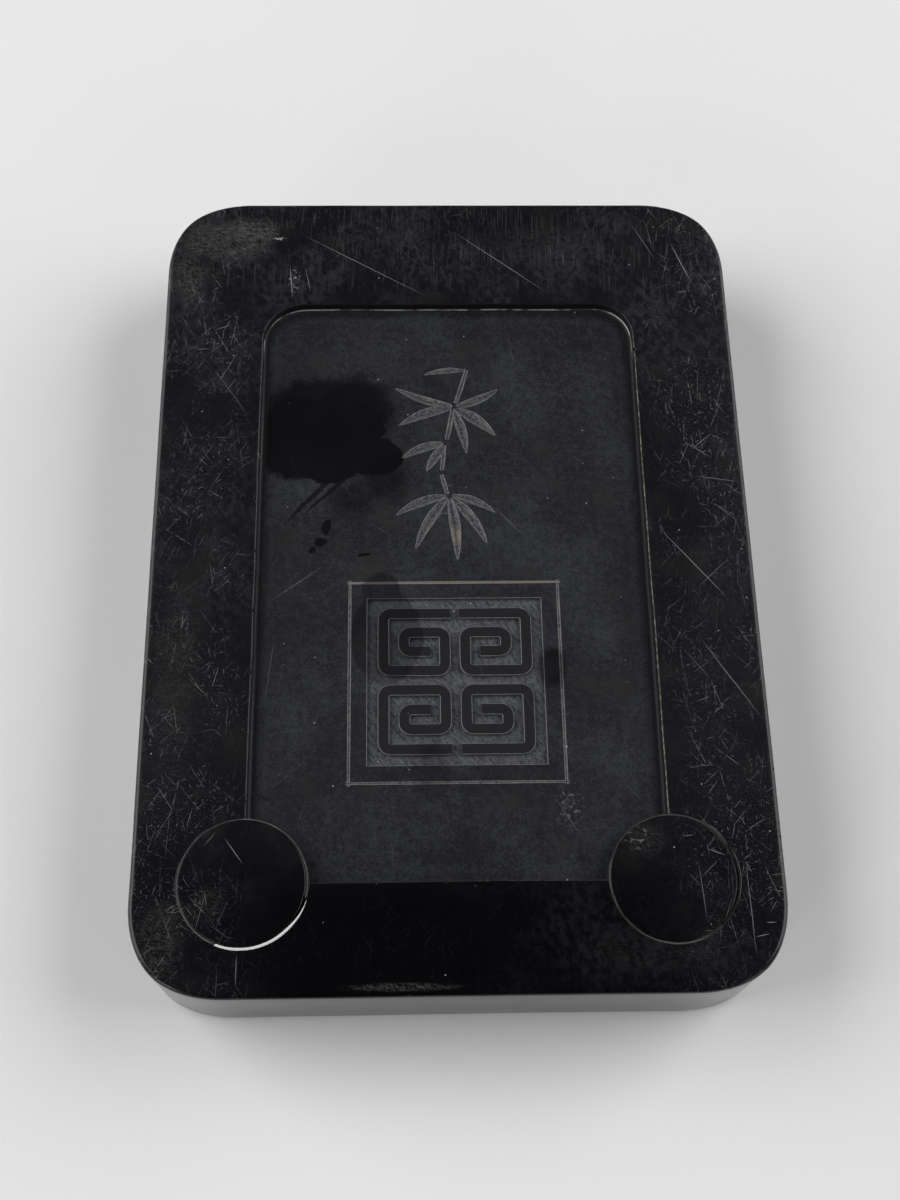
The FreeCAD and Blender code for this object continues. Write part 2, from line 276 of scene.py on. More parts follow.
    def scores(self, spacing: float, length: float, width: float, share: float, seed: float,
               turn: float = 90.0, spread: float = 180.0) -> Value:
        """Give straight tapering scratches, one in each of a share of random cells.

        Args:
            spacing: the usual distance between scratches.
            length: the greatest length of a scratch, which its cell may cut short.
            width: the greatest width.
            share: the share of the cells that are scratched.
            seed: which scratches.
            turn: their middle direction in degrees from X.
            spread: how far their directions range, in degrees.
        """
        off_x, off_y, pick, lean, force = self.cells(spacing, seed)
        angle = lean * math.radians(spread) + math.radians(turn - spread / 2)
        sine, cosine = angle.math("SINE"), angle.math("COSINE")
        along = (off_x * cosine + off_y * sine) * (2 / length)
        across = abs(off_y * cosine - off_x * sine)
        taper = (1.0 - along * along) * width
        drawn = (taper * 0.5 - across).smooth(0.0, width * 0.3)
        return drawn * pick.smooth(1 - share, 1 - share + 0.01) * (force * 0.7 + 0.3)

    def mix(self, factor: Value | float, first: Any, second: Any) -> Socket:
        """Mix two colours."""
        inputs = {0: factor, 6: self.colour(first), 7: self.colour(second)}
        return self.node("ShaderNodeMix", {"data_type": "RGBA"}, inputs).outputs[2]

    @staticmethod
    def colour(given: Any) -> Any:
        """Add the alpha to a plain colour, and leave a socket as it is."""
        return (*given, 1.0) if isinstance(given, tuple) else given

    def finish(self, colour: Socket, roughness: Value, height: Value, depth: float,
               specular: float) -> Material:
        """Feed the shader.

        Args:
            colour: the base colour.
            roughness: the roughness.
            height: the relief too fine for the mesh, from 0 to 1.
            depth: how high 1 stands, in millimetres.
            specular: the strength of the gloss, the same all over.

        Returns:
            The material.
        """
        bump = self.node("ShaderNodeBump", {}, {"Height": height, "Distance": depth * MM})
        for name, source in (("Base Color", colour), ("Roughness", roughness.socket),
                             ("Normal", bump.outputs[0])):
            self.nodes.links.new(source, self.shader.inputs[name])
        self.shader.inputs["Specular IOR Level"].default_value = specular
        return self.material


class Growth(Tree):
    """A Geometry Nodes tree with named inputs, run once on an object to give a plain mesh."""

    KINDS = {float: "NodeSocketFloat", int: "NodeSocketInt", Vector: "NodeSocketVector"}

    def __init__(self, name: str, **inputs: float | int | Vector) -> None:
        """Make a tree with a geometry input and these inputs, whose values are kept for the run."""
        group = bpy.data.node_groups.new(name, "GeometryNodeTree")
        super().__init__(group)
        group.interface.new_socket("Geometry", in_out="OUTPUT", socket_type="NodeSocketGeometry")
        group.interface.new_socket("Geometry", in_out="INPUT", socket_type="NodeSocketGeometry")
        self.values = {}
        for label, given in inputs.items():
            title = label.replace("_", " ").capitalize()
            socket = group.interface.new_socket(title, in_out="INPUT",
                                                socket_type=self.KINDS[type(given)])
            self.values[socket.identifier] = given
        entry = group.nodes.new("NodeGroupInput")
        self.geometry = entry.outputs[0]
        self.given = {label: Value(self, entry.outputs[index])
                      for index, label in enumerate(inputs, start=1)}

    def end(self, geometry: Socket, material: Material | None) -> None:
        """Make the instances real, give them their material and close the tree."""
        real = self.node("GeometryNodeRealizeInstances", {}, {0: geometry}).outputs[0]
        dressed = self.node("GeometryNodeSetMaterial", {}, {"Geometry": real, "Material": material})
        self.node("NodeGroupOutput", {}, {0: dressed.outputs[0]})

    def run(self, host: Object) -> bpy.types.Mesh:
        """Run the tree on an object and give the result as a plain mesh."""
        modifier = host.modifiers.new(self.nodes.name, "NODES")
        modifier.node_group = self.nodes
        for identifier, given in self.values.items():
            modifier[identifier] = given
        mesh = evaluated(host)
        host.modifiers.remove(modifier)
        return mesh


# ---------------- solids


def evaluated(body: Object) -> bpy.types.Mesh:
    """Give an object's mesh with its modifiers applied."""
    bpy.context.view_layer.update()
    graph = bpy.context.evaluated_depsgraph_get()
    return bpy.data.meshes.new_from_object(body.evaluated_get(graph))


def shown(name: str, mesh: bpy.types.Mesh) -> Object:
    """Put a mesh into the scene as an object at the origin."""
    body = bpy.data.objects.new(name, mesh)
    bpy.context.scene.collection.objects.link(body)
    return body


def join(build: bmesh.types.BMesh, rings: Sequence[Sequence[bmesh.types.BMVert]]) -> None:
    """Lay faces between each ring of vertices and the next."""
    for lower, upper in zip(rings, rings[1:]):
        for here in range(len(lower)):
            there = (here + 1) % len(lower)
            build.faces.new((lower[here], lower[there], upper[there], upper[here]))


def closed(name: str, build: bmesh.types.BMesh) -> Object:
    """Turn the faces of a closed build outwards and put it into the scene."""
    bmesh.ops.recalc_face_normals(build, faces=build.faces)
    mesh = bpy.data.meshes.new(name)
    build.to_mesh(mesh)
    build.free()
    return shown(name, mesh)


def loft(name: str, rings: Sequence[Sequence[Vector]]) -> Object:
    """Join rings of equally many points into a closed solid with flat ends."""
    build = bmesh.new()
    rows = [[build.verts.new(point * MM) for point in ring] for ring in rings]
    join(build, rows)
    build.faces.new(rows[0])
    build.faces.new(rows[-1])
    return closed(name, build)


def remove(bodies: Iterable[Object]) -> None:
    """Delete objects that have done their work."""
    for body in bodies:
        bpy.data.objects.remove(body)


def carve(block: Object, cutters: Sequence[Object]) -> None:
    """Take cutters out of a block one after another, and delete them."""
    for cutter in cutters:
        cut = block.modifiers.new(cutter.name, "BOOLEAN")
        cut.operation = "DIFFERENCE"
        cut.solver = "MANIFOLD"
        cut.object = cutter
    block.data, spent = evaluated(block), block.data
    block.modifiers.clear()
    bpy.data.meshes.remove(spent)
    remove(cutters)


def settle(body: Object, material: Material, node: str) -> Object:
    """Finish a piece: smooth curves, crisp edges, its material, and the node it stands for."""
    body.data.materials.clear()
    body.data.materials.append(material)
    body.data.polygons.foreach_set("use_smooth", [True] * len(body.data.polygons))
    body.data.set_sharp_from_angle(angle=SMOOTH_BELOW)
    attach(body, "root")
    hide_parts(node)
    log.info("%s: %d faces", body.name, len(body.data.polygons))
    return body


def compass(turn: float) -> Vector:
    """Give the direction in plan at a turn in degrees from X."""
    angle = math.radians(turn)
    return Vector((math.cos(angle), math.sin(angle)))


def stray(place: Vector | Sequence[float], size: float, seed: float) -> float:
    """Give a steady random number from about -1 to 1 that changes over a size."""
    return noise.noise(Vector((place[0] / size, place[1] / size, seed * 7.13)))


@dataclass(frozen=True)
class Outline:
    """A rounded rectangle seen from above and cut a little unevenly.

    The corners are given in the order near right, far right, far left, near left. Ease adds to a
    corner's radius where it leaves the sides, so that it runs in softly.
    """

    low: Point
    high: Point
    radii: tuple[float, float, float, float]
    ease: float = 0.0
    wander: float = 0.0
    wander_size: float = 14.0
    seed: float = 0.0
    corner_steps: int = 24
    side_steps: int = 40

    def corner(self, number: int) -> list[tuple[Vector, Vector]]:
        """Give a corner's points and outward normals, by summing its radius over its turn."""
        across = compass(90 * number - 90)
        along = Vector((-across.y, across.x))
        apex = Vector((self.high[0] if number in (0, 1) else self.low[0],
                       self.high[1] if number in (1, 2) else self.low[1]))
        fine = 16
        turn = math.pi / 2 / (self.corner_steps * fine)
        radii = [self.radii[number] + self.ease * math.cos(2 * (step + 0.5) * turn) ** 2
                 for step in range(self.corner_steps * fine)]
        angles = [(step + 0.5) * turn for step in range(len(radii))]
        run_in = sum(radius * math.cos(angle) * turn for radius, angle in zip(radii, angles))
        drop, reach, places = 0.0, -run_in, []
        for step in range(len(radii) + 1):
            if step % fine == 0:
                angle = step * turn
                normal = across * math.cos(angle) + along * math.sin(angle)
                places.append((apex - across * drop + along * reach, normal))
            if step < len(radii):
                drop += radii[step] * math.sin(angles[step]) * turn
                reach += radii[step] * math.cos(angles[step]) * turn
        return places

    def places(self) -> list[tuple[Vector, Vector]]:
        """Give points and outward normals all the way round."""
        corners = [self.corner(number) for number in range(4)]
        round_trip = []
        for here, there in zip(corners, corners[1:] + corners[:1]):
            round_trip += here
            start, normal = here[-1]
            end = there[0][0]
            for step in range(1, self.side_steps):
                round_trip.append((start.lerp(end, step / self.side_steps), normal))
        return round_trip

    def ring(self, out: float, height: float) -> Ring:
        """Give the outline moved outwards, at a height."""
        return [self.moved(place, normal, out, height) for place, normal in self.places()]

    def moved(self, place: Vector, normal: Vector, out: float, height: float) -> Vector:
        """Give a point of the outline moved outwards, with its own small error."""
        out += self.wander * stray(place, self.wander_size, self.seed)
        return Vector((place.x + normal.x * out, place.y + normal.y * out, height))

    def rings(self, section: Sequence[Point]) -> list[Ring]:
        """Give one ring for each step of a section of (out, height) pairs."""
        return [self.ring(out, height) for out, height in section]


def quarter(steps: int) -> list[Point]:
    """Give the sine and cosine of a quarter turn in even steps, both ends included."""
    angles = [math.pi / 2 * step / steps for step in range(steps + 1)]
    return [(math.sin(angle), math.cos(angle)) for angle in angles]


@dataclass(frozen=True)
class Stroke:
    """A V cut along a line: it swells from its root, thins to its tip and may bend.

    Width is its greatest width, bend is how far its middle stands off the straight line as a share
    of its length, and blunt is the share of the width that it keeps at both ends. Swell moves its
    widest place: below 1 it lies nearer the root.
    """

    start: Point
    end: Point
    width: float
    bend: float = 0.0
    blunt: float = 0.03
    swell: float = 0.8
    seed: float = 0.0
    steps: int = 30

    LIP = 0.08
    LIP_SLOPE = 0.7
    WALL_SLOPE = 0.85
    CLEAR = 0.35

    def half_width(self, share: float) -> float:
        """Give half the width a share of the way from root to tip."""
        wave = max(math.sin(math.pi * share ** self.swell), 0.0) ** 0.75
        even = self.blunt + (1 - self.blunt) * wave
        return self.width / 2 * even * (1 + 0.07 * stray((share * 9, 0), 1.0, self.seed))

    def cutter(self, name: str, surface: float) -> Object:
        """Build the solid that cuts this stroke into a surface at a height."""
        start, end = Vector(self.start), Vector(self.end)
        run = end - start
        side = Vector((-run.y, run.x)).normalized()
        rings = []
        for step in range(self.steps + 1):
            share = step / self.steps
            sweep = self.bend * run.length * 4 * share * (1 - share)
            middle = start + run * share + side * sweep
            rings.append([Vector((*(middle + side * across), surface + height))
                          for across, height in self.section(self.half_width(share), share)])
        return loft(name, rings)

    def section(self, half: float, share: float) -> list[Point]:
        """Give the cut's section: a V with broken edges, standing a little out of the surface."""
        lip = half + self.LIP
        foot = -self.LIP * self.LIP_SLOPE
        over = self.CLEAR * self.LIP_SLOPE
        lean = 0.12 * half * stray((share * 5, 3), 1.0, self.seed)
        keel = foot - half * self.WALL_SLOPE
        return [(-lip - self.CLEAR, 2 * over), (-lip - self.CLEAR, over), (-half, foot),
                (lean, keel), (half, foot), (lip + self.CLEAR, over), (lip + self.CLEAR, 2 * over)]


# ---------------- finishes


@dataclass(frozen=True)
class Scratch:
    """One long scratch: where it starts and ends, how wide it is and how strongly it shows."""

    start: Point
    end: Point
    width: float = 0.16
    strength: float = 0.5

    def mask(self, paint: Paint, at: Socket) -> Value:
        """Give where the scratch shows, thinning towards its ends."""
        start, end = Vector(self.start), Vector(self.end)
        run = end - start
        size = (run.length / 2, self.width / 2, 1.0)
        turn = math.degrees(math.atan2(run.y, run.x))
        along, across, _ = paint.split(paint.laid(size, turn, (*(start + end) / 2, 0.0), at))
        return (abs(across) + along * along).smooth(1.0, 0.55, self.strength)


def scratched(*rows: tuple[float, float, float, float, float, float]) -> tuple[Scratch, ...]:
    """Give scratches from rows of start x, start y, end x, end y, width and strength."""
    return tuple(Scratch((x, y), (end_x, end_y), width, strength)
                 for x, y, end_x, end_y, width, strength in rows)


@dataclass(frozen=True)
class Stain:
    """Spilt ink: overlapping ellipses with a ragged edge.

    Spots are (x, y, half width, half height). Soft is how far in from the edge the ink is at full
    strength, and ragged how far its edge wanders, both as a share of the ellipse.
    """

    spots: tuple[tuple[float, float, float, float], ...]
    strength: float = 0.9
    soft: float = 0.12
    ragged: float = 0.3

    def mask(self, paint: Paint, at: Socket, edge: Value) -> Value:
        """Give where the ink lies."""
        ovals = [paint.oval((x, y), (half_x, half_y), at) for x, y, half_x, half_y in self.spots]
        nearest = ovals[0]
        for other in ovals[1:]:
            nearest = nearest.least(other)
        ragged = nearest - (edge - 0.5) * self.ragged
        return ragged.smooth(1.0, 1.0 - self.soft, self.strength)


@dataclass(frozen=True)
class Patch:
    """A soft-edged patch of the slate and how strong it is: an ellipse with a ragged edge."""

    middle: Point
    reach: Point
    strength: float
    ragged: float = 0.5

    def mask(self, paint: Paint, edge: Value) -> Value:
        """Give where the patch lies."""
        away = paint.oval(self.middle, self.reach, paint.place)
        return (away - (edge - 0.5) * self.ragged).smooth(1.0, 0.4, self.strength)


@dataclass(frozen=True)
class SlateWear:
    """How one piece of the slate is worn.

    Scuffed is how thick the crowds of short scratches are. Runs are thin trails of ink, patches are
    dirty and flakes are bruised or chalky. Seed picks which small scratches it has.
    """

    scuffed: float
    scratches: tuple[Scratch, ...] = ()
    stains: tuple[Stain, ...] = ()
    runs: tuple[Scratch, ...] = ()
    patches: tuple[Patch, ...] = ()
    flakes: tuple[Patch, ...] = ()
    seed: float = 0.0


def boxed(x: Value, y: Value, low: Point, high: Point, radius: float) -> Value:
    """Give the distance out of a rounded rectangle, negative inside it."""
    middle_x, middle_y = (low[0] + high[0]) / 2, (low[1] + high[1]) / 2
    out_x = abs(x - middle_x) - ((high[0] - low[0]) / 2 - radius)
    out_y = abs(y - middle_y) - ((high[1] - low[1]) / 2 - radius)
    beyond_x, beyond_y = out_x.most(0.0), out_y.most(0.0)
    beyond = (beyond_x * beyond_x + beyond_y * beyond_y).root()
    return beyond + out_x.most(out_y).least(0.0) - radius


@dataclass(frozen=True)
class SlateFinish:
    """Polished black slate: painted nearly black at the near end as shade, painted greyer away from
    it as a reflection, scuffed where handled.
    """

    wear: SlateWear
    stone: "StoneBody"
    # Painted shade: the near end of the rim
    black: Tone = (0.0007, 0.0007, 0.0011)
    polished: Tone = (0.0034, 0.0037, 0.0055)
    # This grey is also the rim's painted reflection away from the near end
    soft_grey: Tone = (0.0165, 0.0170, 0.0215)
    browned: Tone = (0.0110, 0.0098, 0.0088)
    scored: Tone = (0.22, 0.22, 0.225)
    dirty: Tone = (0.080, 0.077, 0.071)
    # These three side tones are painted paler than sawn slate, standing in for the reflection of
    # the pale floor
    sawn: Tone = (0.040, 0.0391, 0.0376)
    streaked: Tone = (0.066, 0.064, 0.060)
    dusty: Tone = (0.105, 0.100, 0.094)
    dust: Tone = (0.42, 0.42, 0.41)
    gloss: float = 0.28
    relief: float = 0.045
    near_rough: float = 0.16
    far_rough: float = 0.08
    smear_rough: float = 0.12
    scored_rough: float = 0.2
    hair: float = 0.12
    fanned: float = 62.0

    CROWDS = (
        # spacing, greatest length, share of cells scratched, seed, middle direction
        (3.9, 10.0, 0.70, 2.0, 62.0),
        (4.6, 13.0, 0.62, 3.0, -58.0),
        (6.5, 16.0, 0.55, 6.0, 86.0),
    )

    def material(self, name: str) -> Material:
        """Write the material."""
        paint = Paint(name)
        edge = paint.cloud(3.0, detail=5.0, seed=2.0)
        side = self.side(paint)
        tone = paint.mix(side, self.rim_tone(paint, edge), self.side_tone_with_floor_sheen(paint))
        marks = self.marks(paint) * (1.0 - side)
        tone = paint.mix(marks, tone, self.scored)
        specks = self.dusted(paint)
        tone = paint.mix(specks, tone, self.dust)
        smear = paint.cloud(9.0, detail=3.0, seed=5.0)
        rough = self.dullness(paint, smear) + marks * self.scored_rough
        height = 0.5 + smear * 0.2 + specks * 0.5
        return paint.finish(tone, rough, height, self.relief, self.gloss)

    def dullness(self, paint: Paint, smear: Value) -> Value:
        """Give the polish's roughness: smeared by handling, and least at the near end."""
        return (smear * self.smear_rough + paint.y.smooth(-64.0, -34.0, self.far_rough)
                + self.near_rough)

    def side(self, paint: Paint) -> Value:
        """Give where the upright sides are."""
        stone = self.stone
        block = boxed(paint.x, paint.y, (-stone.half[0], -stone.half[1]), stone.half, 12.0)
        return paint.z.smooth(stone.top - 0.5, stone.top - 0.9) * block.smooth(-1.9, -0.9)

    def rim_tone(self, paint: Paint, edge: Value) -> Socket:
        """Tone the polished rim: painted shade makes it nearly black at the near end, and a painted
        grey reflection, mottled, grows further away.
        """
        drift = paint.cloud(15.0, detail=4.0, seed=1.0 + self.wear.seed)
        mottle = paint.cloud((0.9, 1.3, 1.0), 15.0, 6.0, 14.0).smooth(0.36, 0.70)
        across = abs(paint.x).smooth(24.0, 46.0)
        # Painted reflection: greyer further from the near end and towards the sides, less near the
        # middle, more at the far right
        away = paint.y.smooth(-66.0, 66.0, 0.62) + across * 0.04
        away = away + paint.x.smooth(-28.0, -46.0, 0.07) - paint.y.near(30.0, 22.0, 0.20)
        away = away + paint.y.smooth(46.0, 58.0) * paint.x.smooth(22.0, 44.0, 0.18)
        # Painted sheen on the near right of the rim
        sheen_gradient = away + paint.x.smooth(0.0, 18.0, 0.20) * paint.y.smooth(-48.0, -60.0)
        mottled_sheen = (drift.smooth(0.38, 0.62) * 0.92 + 0.08) * sheen_gradient
        # Painted shade: the near end is painted nearly black, less so towards the sides
        lit = paint.y.smooth(-62.0, -48.0).most(across * 0.75)
        tone = paint.mix(lit, self.black, self.polished)
        brown = paint.cloud(8.0, detail=4.0, seed=12.0).smooth(0.50, 0.70, 0.65) * lit
        tone = paint.mix(brown, tone, self.browned)
        tone = paint.mix((mottled_sheen * (mottle * 1.9 + 0.1)).least(1.0), tone, self.soft_grey)
        crossed = paint.cloud((0.24, 1.2, 1.0), 82.0, 4.0, 13.0).most(
            paint.cloud((0.24, 1.0, 1.0), 47.0, 4.0, 11.0)).smooth(0.42, 0.74)
        for patch in self.wear.patches:
            tone = paint.mix(patch.mask(paint, edge) * crossed, tone, self.dirty)
        return tone

    def side_tone_with_floor_sheen(self, paint: Paint) -> Socket:
        """Tone the sawn sides, streaked along the cut and dusty in places, painted paler as a
        stand-in for the pale floor they reflect.
        """
        streak = paint.cloud((18.0, 18.0, 0.25), 0.0, 5.0, 15.0)
        blotch = paint.cloud((17.0, 17.0, 9.0), 0.0, 5.0, 16.0)
        tone = paint.mix(streak.smooth(0.30, 0.70, 0.6), self.sawn, self.streaked)
        return paint.mix(blotch.smooth(0.36, 0.72, 0.36), tone, self.dusty)

    def marks(self, paint: Paint) -> Value:
        """Give all scratches: crowds of short ones where the rim is handled, and the long ones.

        Every other long scratch is read off the plain place and the rest off a wavering one. One
        place for all of them would ask the renderer to hold too many places at a time.
        """
        wear, seed = self.wear, self.wear.seed * 3
        wavy = paint.warped(5.0, 0.14)
        patch = paint.cloud(11.0, detail=4.0, seed=8.0 + wear.seed)
        handled = abs(paint.x).smooth(31.0, 42.0, 0.95).most(paint.y.smooth(54.0, 62.0, 0.36))
        amount = (patch.smooth(0.36, 0.62, 0.9) + 0.1) * (handled + 0.05) * wear.scuffed
        crowd = paint.scores(2.3, 4.2, self.hair, 0.50, 1.0 + seed)
        for spacing, length, share, number, turn in self.CROWDS:
            crowd = crowd.most(paint.scores(spacing, length, self.hair, share, number + seed,
                                            turn, self.fanned))
        nicks = paint.scores(1.0, 1.0, 0.13, 0.42, 4.0 + seed)
        broken = paint.cloud(1.3, detail=4.0, seed=29.0).smooth(0.36, 0.57, 0.76)
        mottle = paint.cloud(0.36, detail=4.0, seed=9.0).smooth(0.54, 0.73, 0.17)
        marks = (crowd.most(nicks) * broken + mottle) * amount
        streaks = paint.hairs(88.0, 7.0, 0.16, 0.62, 30.0 + seed) * paint.y.smooth(52.0, 58.0, 0.13)
        marks = marks.most(streaks)
        for index, scratch in enumerate(wear.scratches):
            marks = marks.most(scratch.mask(paint, wavy if index % 2 else paint.place))
        chalk = paint.cloud(0.7, detail=5.0, seed=26.0).smooth(0.54, 0.66)
        for flake in wear.flakes:
            marks = marks.most(flake.mask(paint, patch) * chalk)
        return marks.least(1.0)

    def dusted(self, paint: Paint) -> Value:
        """Give the small pale specks of dust that lie on the stone."""
        small = paint.specks(5.3, 0.14, 0.16, 41.0)
        return small.most(paint.specks(19.0, 0.20, 0.30, 42.0)) * 0.7


@dataclass(frozen=True)
class CarvedSlateFinish(SlateFinish):
    """The slate with its honed panel, fresh cuts and grinding hollow."""

    honed_dark: Tone = (0.0042, 0.0047, 0.0070)
    honed_pale: Tone = (0.0245, 0.0262, 0.0322)
    olive: Tone = (0.0135, 0.0135, 0.0122)
    rubbed: Tone = (0.0050, 0.0054, 0.0070)
    sunk_dark: Tone = (0.026, 0.028, 0.033)
    sunk_pale: Tone = (0.092, 0.096, 0.106)
    fresh_dark: Tone = (0.036, 0.038, 0.042)
    fresh_pale: Tone = (0.120, 0.122, 0.126)
    # Pale broken stone with a painted highlight, for the edges of the cuts
    edge_highlight_pale: Tone = (0.40, 0.40, 0.40)
    # Pale paste, lightened as a painted highlight
    chalky: Tone = (0.62, 0.62, 0.60)
    beige: Tone = (0.24, 0.20, 0.15)
    ink: Tone = (0.0010, 0.0011, 0.0018)
    rubbed_slope: Tone = (0.021, 0.0215, 0.023)
    dried_ink: Tone = (0.0085, 0.0080, 0.0076)
    ink_crust: Tone = (0.0052, 0.0046, 0.0042)
    honed_rough: float = 0.20
    cut_rough: float = 0.25
    hollow_rough: float = 0.12
    pasted_rough: float = 0.4
    ink_shine: float = 0.18
    sawn_shine: float = 0.05
    least_rough: float = 0.15

    def material(self, name: str) -> Material:
        """Write the material."""
        paint = Paint(name)
        stone = self.stone
        floor = stone.top - stone.panel_depth
        outside = boxed(paint.x, paint.y, stone.panel_low, stone.panel_high, 6.9)
        within = outside.smooth(0.35, 0.15) * paint.z.smooth(floor - 4.0, floor - 3.6)
        level = paint.z.smooth(floor + 0.35, floor + 0.15) * within
        cut = paint.z.smooth(floor - 0.02, floor - 0.08) * within
        wall = (paint.z.smooth(floor + 0.15, floor + 0.35) * outside.near(0.0, 1.2)
                * paint.z.smooth(stone.top - 0.05, stone.top - 0.12))
        hollow = (paint.z.smooth(stone.top * 0.55, stone.top * 0.45)
                  * boxed(paint.x, paint.y, (-stone.hollow_half[0], -stone.hollow_half[1]),
                          stone.hollow_half, stone.hollow_corner).smooth(1.6, 0.4))
        side = self.side(paint)
        plain = 1.0 - (level + cut + wall + side + hollow).least(1.0)

        edge = paint.cloud(3.0, detail=5.0, seed=2.0)
        grain = paint.cloud(0.38, detail=4.0, seed=3.0)
        # Where the panel floor meets its wall: painted shade there, partly ink gathered there, and
        # a rougher floor
        foot = (outside.near(-0.75, 0.85) * abs(paint.x).smooth(29.0, 32.5)).most(
            outside.near(-0.45, 0.5, 0.4))
        tone = paint.mix(side, self.rim_tone(paint, edge), self.side_tone_with_floor_sheen(paint))
        tone = paint.mix(wall, tone, self.wall_tone(paint, edge))
        tone = paint.mix(level, tone, self.panel_tone(paint, outside, foot, grain))
        tone = paint.mix(cut, tone, self.cut_tone(paint, floor, grain))
        tone = paint.mix(hollow, tone, self.hollow_tone(paint, grain))
        marks = self.marks(paint) * (plain + level * 0.75).least(1.0)
        rare = paint.scores(8.0, 8.0, 0.13, 0.45, 5.0) * level
        marks = marks.most(rare * 0.16)
        tone = paint.mix(marks, tone, self.scored)
        ink = self.inked(paint, edge) * (level + cut).least(1.0) * (1.0 - marks * 0.6)
        tone = paint.mix(ink, tone, self.ink)
        specks = self.dusted(paint)
        tone = paint.mix(specks, tone, self.dust)

        smear = paint.cloud(9.0, detail=3.0, seed=5.0)
        rough = (self.dullness(paint, smear) + level * self.honed_rough + cut * self.cut_rough
                 + marks * self.scored_rough + hollow * self.hollow_rough
                 + level * foot * self.pasted_rough + wall * self.pasted_rough
                 - ink * self.ink_shine - side * self.sawn_shine)
        chiselled = cut * paint.cloud(0.24, detail=4.0, seed=6.0) * 0.6
        height = 0.5 + smear * 0.2 + (level + hollow) * grain * 0.3 + specks * 0.5 + chiselled
        return paint.finish(tone, rough.most(self.least_rough), height, self.relief, self.gloss)

    def wall_tone(self, paint: Paint, edge: Value) -> Socket:
        """Tone the panel's wall: dark, with pale dried paste along the far foot, made paler still
        as a painted highlight where that ledge faces up, a pale worn line with a painted highlight
        along the left lip, and beige paste along the right lip.
        """
        top, floor = self.stone.top, self.stone.top - self.stone.panel_depth
        # Pale paste at the far foot, made paler still as a painted highlight where that ledge faces
        # up
        foot = paint.z.near(floor + 0.50, 0.27) * paint.y.smooth(40.0, 47.0)
        near_end = paint.y.smooth(-57.4, -55.6, 0.85) + 0.15
        lip = paint.z.near(top - 0.16, 0.20) * paint.y.smooth(48.0, 40.0) * near_end
        right = paint.x.smooth(-5.0, 5.0)
        dotted = paint.cloud(0.8, detail=3.0, seed=17.0).smooth(0.44, 0.60, 0.75)
        # Left lip: a pale worn line with a painted highlight
        left = lip * (1.0 - right) * (edge.smooth(0.34, 0.52, 0.35) + 0.15)
        tone = paint.mix(foot * (edge.smooth(0.38, 0.56, 0.6) + 0.1), self.polished, self.chalky)
        tone = paint.mix(left, tone, self.fresh_pale)
        return paint.mix(lip * right * (dotted + 0.25), tone, self.beige)

    def panel_tone(self, paint: Paint, outside: Value, foot: Value, grain: Value) -> Socket:
        """Tone the honed panel: cloudy, faintly brushed, with painted shade at the foot of its
        wall, partly ink gathered there, and a painted lit band just inside it.
        """
        cloud = paint.cloud((11.0, 15.0, 11.0), 20.0, 6.0, 18.0).smooth(0.34, 0.68, 0.50)
        mottle = paint.cloud(1.3, detail=5.0, seed=27.0).smooth(0.34, 0.66, 0.36)
        grainy = grain.smooth(0.33, 0.67, 0.60)
        brushed = paint.cloud((0.5, 6.0, 1.0), 7.0, 3.0, 19.0).smooth(0.3, 0.7, 0.14)
        crossed = paint.cloud((4.5, 0.5, 1.0), -9.0, 3.0, 20.0).smooth(0.3, 0.7, 0.14)
        share = cloud + mottle + grainy + brushed + crossed - 0.495
        share = share - paint.y.smooth(0.0, -50.0, 0.12)
        tone = paint.mix(share.least(1.0).most(0.0), self.honed_dark, self.honed_pale)
        greened = paint.cloud(7.0, detail=5.0, seed=21.0).smooth(0.52, 0.70, 0.6)
        tone = paint.mix(greened, tone, self.olive)
        # Painted shade at the foot of the wall, partly gathered ink
        tone = paint.mix(foot * 0.9, tone, self.polished)
        lit = outside.near(-2.4, 1.3) * grain.smooth(0.3, 0.7, 0.5)
        tone = paint.mix(lit, tone, self.honed_pale)
        return paint.mix(self.on_seal(paint).smooth(0.1, 0.0, 0.9), tone, self.rubbed)

    def on_seal(self, paint: Paint) -> Value:
        """Give the distance out of the seal's square, in which its bars and ground lie."""
        seal = self.stone.seal
        return boxed(paint.x, paint.y, *seal.square(seal.ground_half + 0.05), 0.1)

    def cut_tone(self, paint: Paint, floor: float, grain: Value) -> Socket:
        """Tone the fresh stone in the cuts: a pale broken edge with a painted highlight, pale and
        ribbed below.
        """
        ribbed = paint.cloud((0.5, 0.5, 0.2), 30.0, 3.0, 22.0)
        chisel = paint.cloud((0.35, 1.5, 1.0), 35.0, 3.0, 23.0)
        warm = paint.cloud(4.0, detail=3.0, seed=28.0).smooth(0.52, 0.72, 0.5)
        # Painted highlight, partly pale broken stone, along the edge of the cut
        lip = paint.z.near(floor - 0.045, 0.06) * (grain.smooth(0.3, 0.6, 0.6) + 0.35)
        tone = paint.mix(ribbed.smooth(0.34, 0.66), self.fresh_dark, self.fresh_pale)
        tone = paint.mix(lip, tone, self.edge_highlight_pale)
        far_line = paint.y.near(self.stone.seal.middle[1] + self.stone.seal.border_half, 0.5, 0.75)
        tone = paint.mix(warm.most(far_line), tone, self.beige)
        pit = (grain * 0.6 + chisel * 0.6).smooth(0.42, 0.78)
        square = self.on_seal(paint).smooth(0.1, 0.0)
        ground = paint.z.smooth(floor - 0.42, floor - 0.60) * square
        return paint.mix(ground, tone, paint.mix(pit, self.sunk_dark, self.sunk_pale))

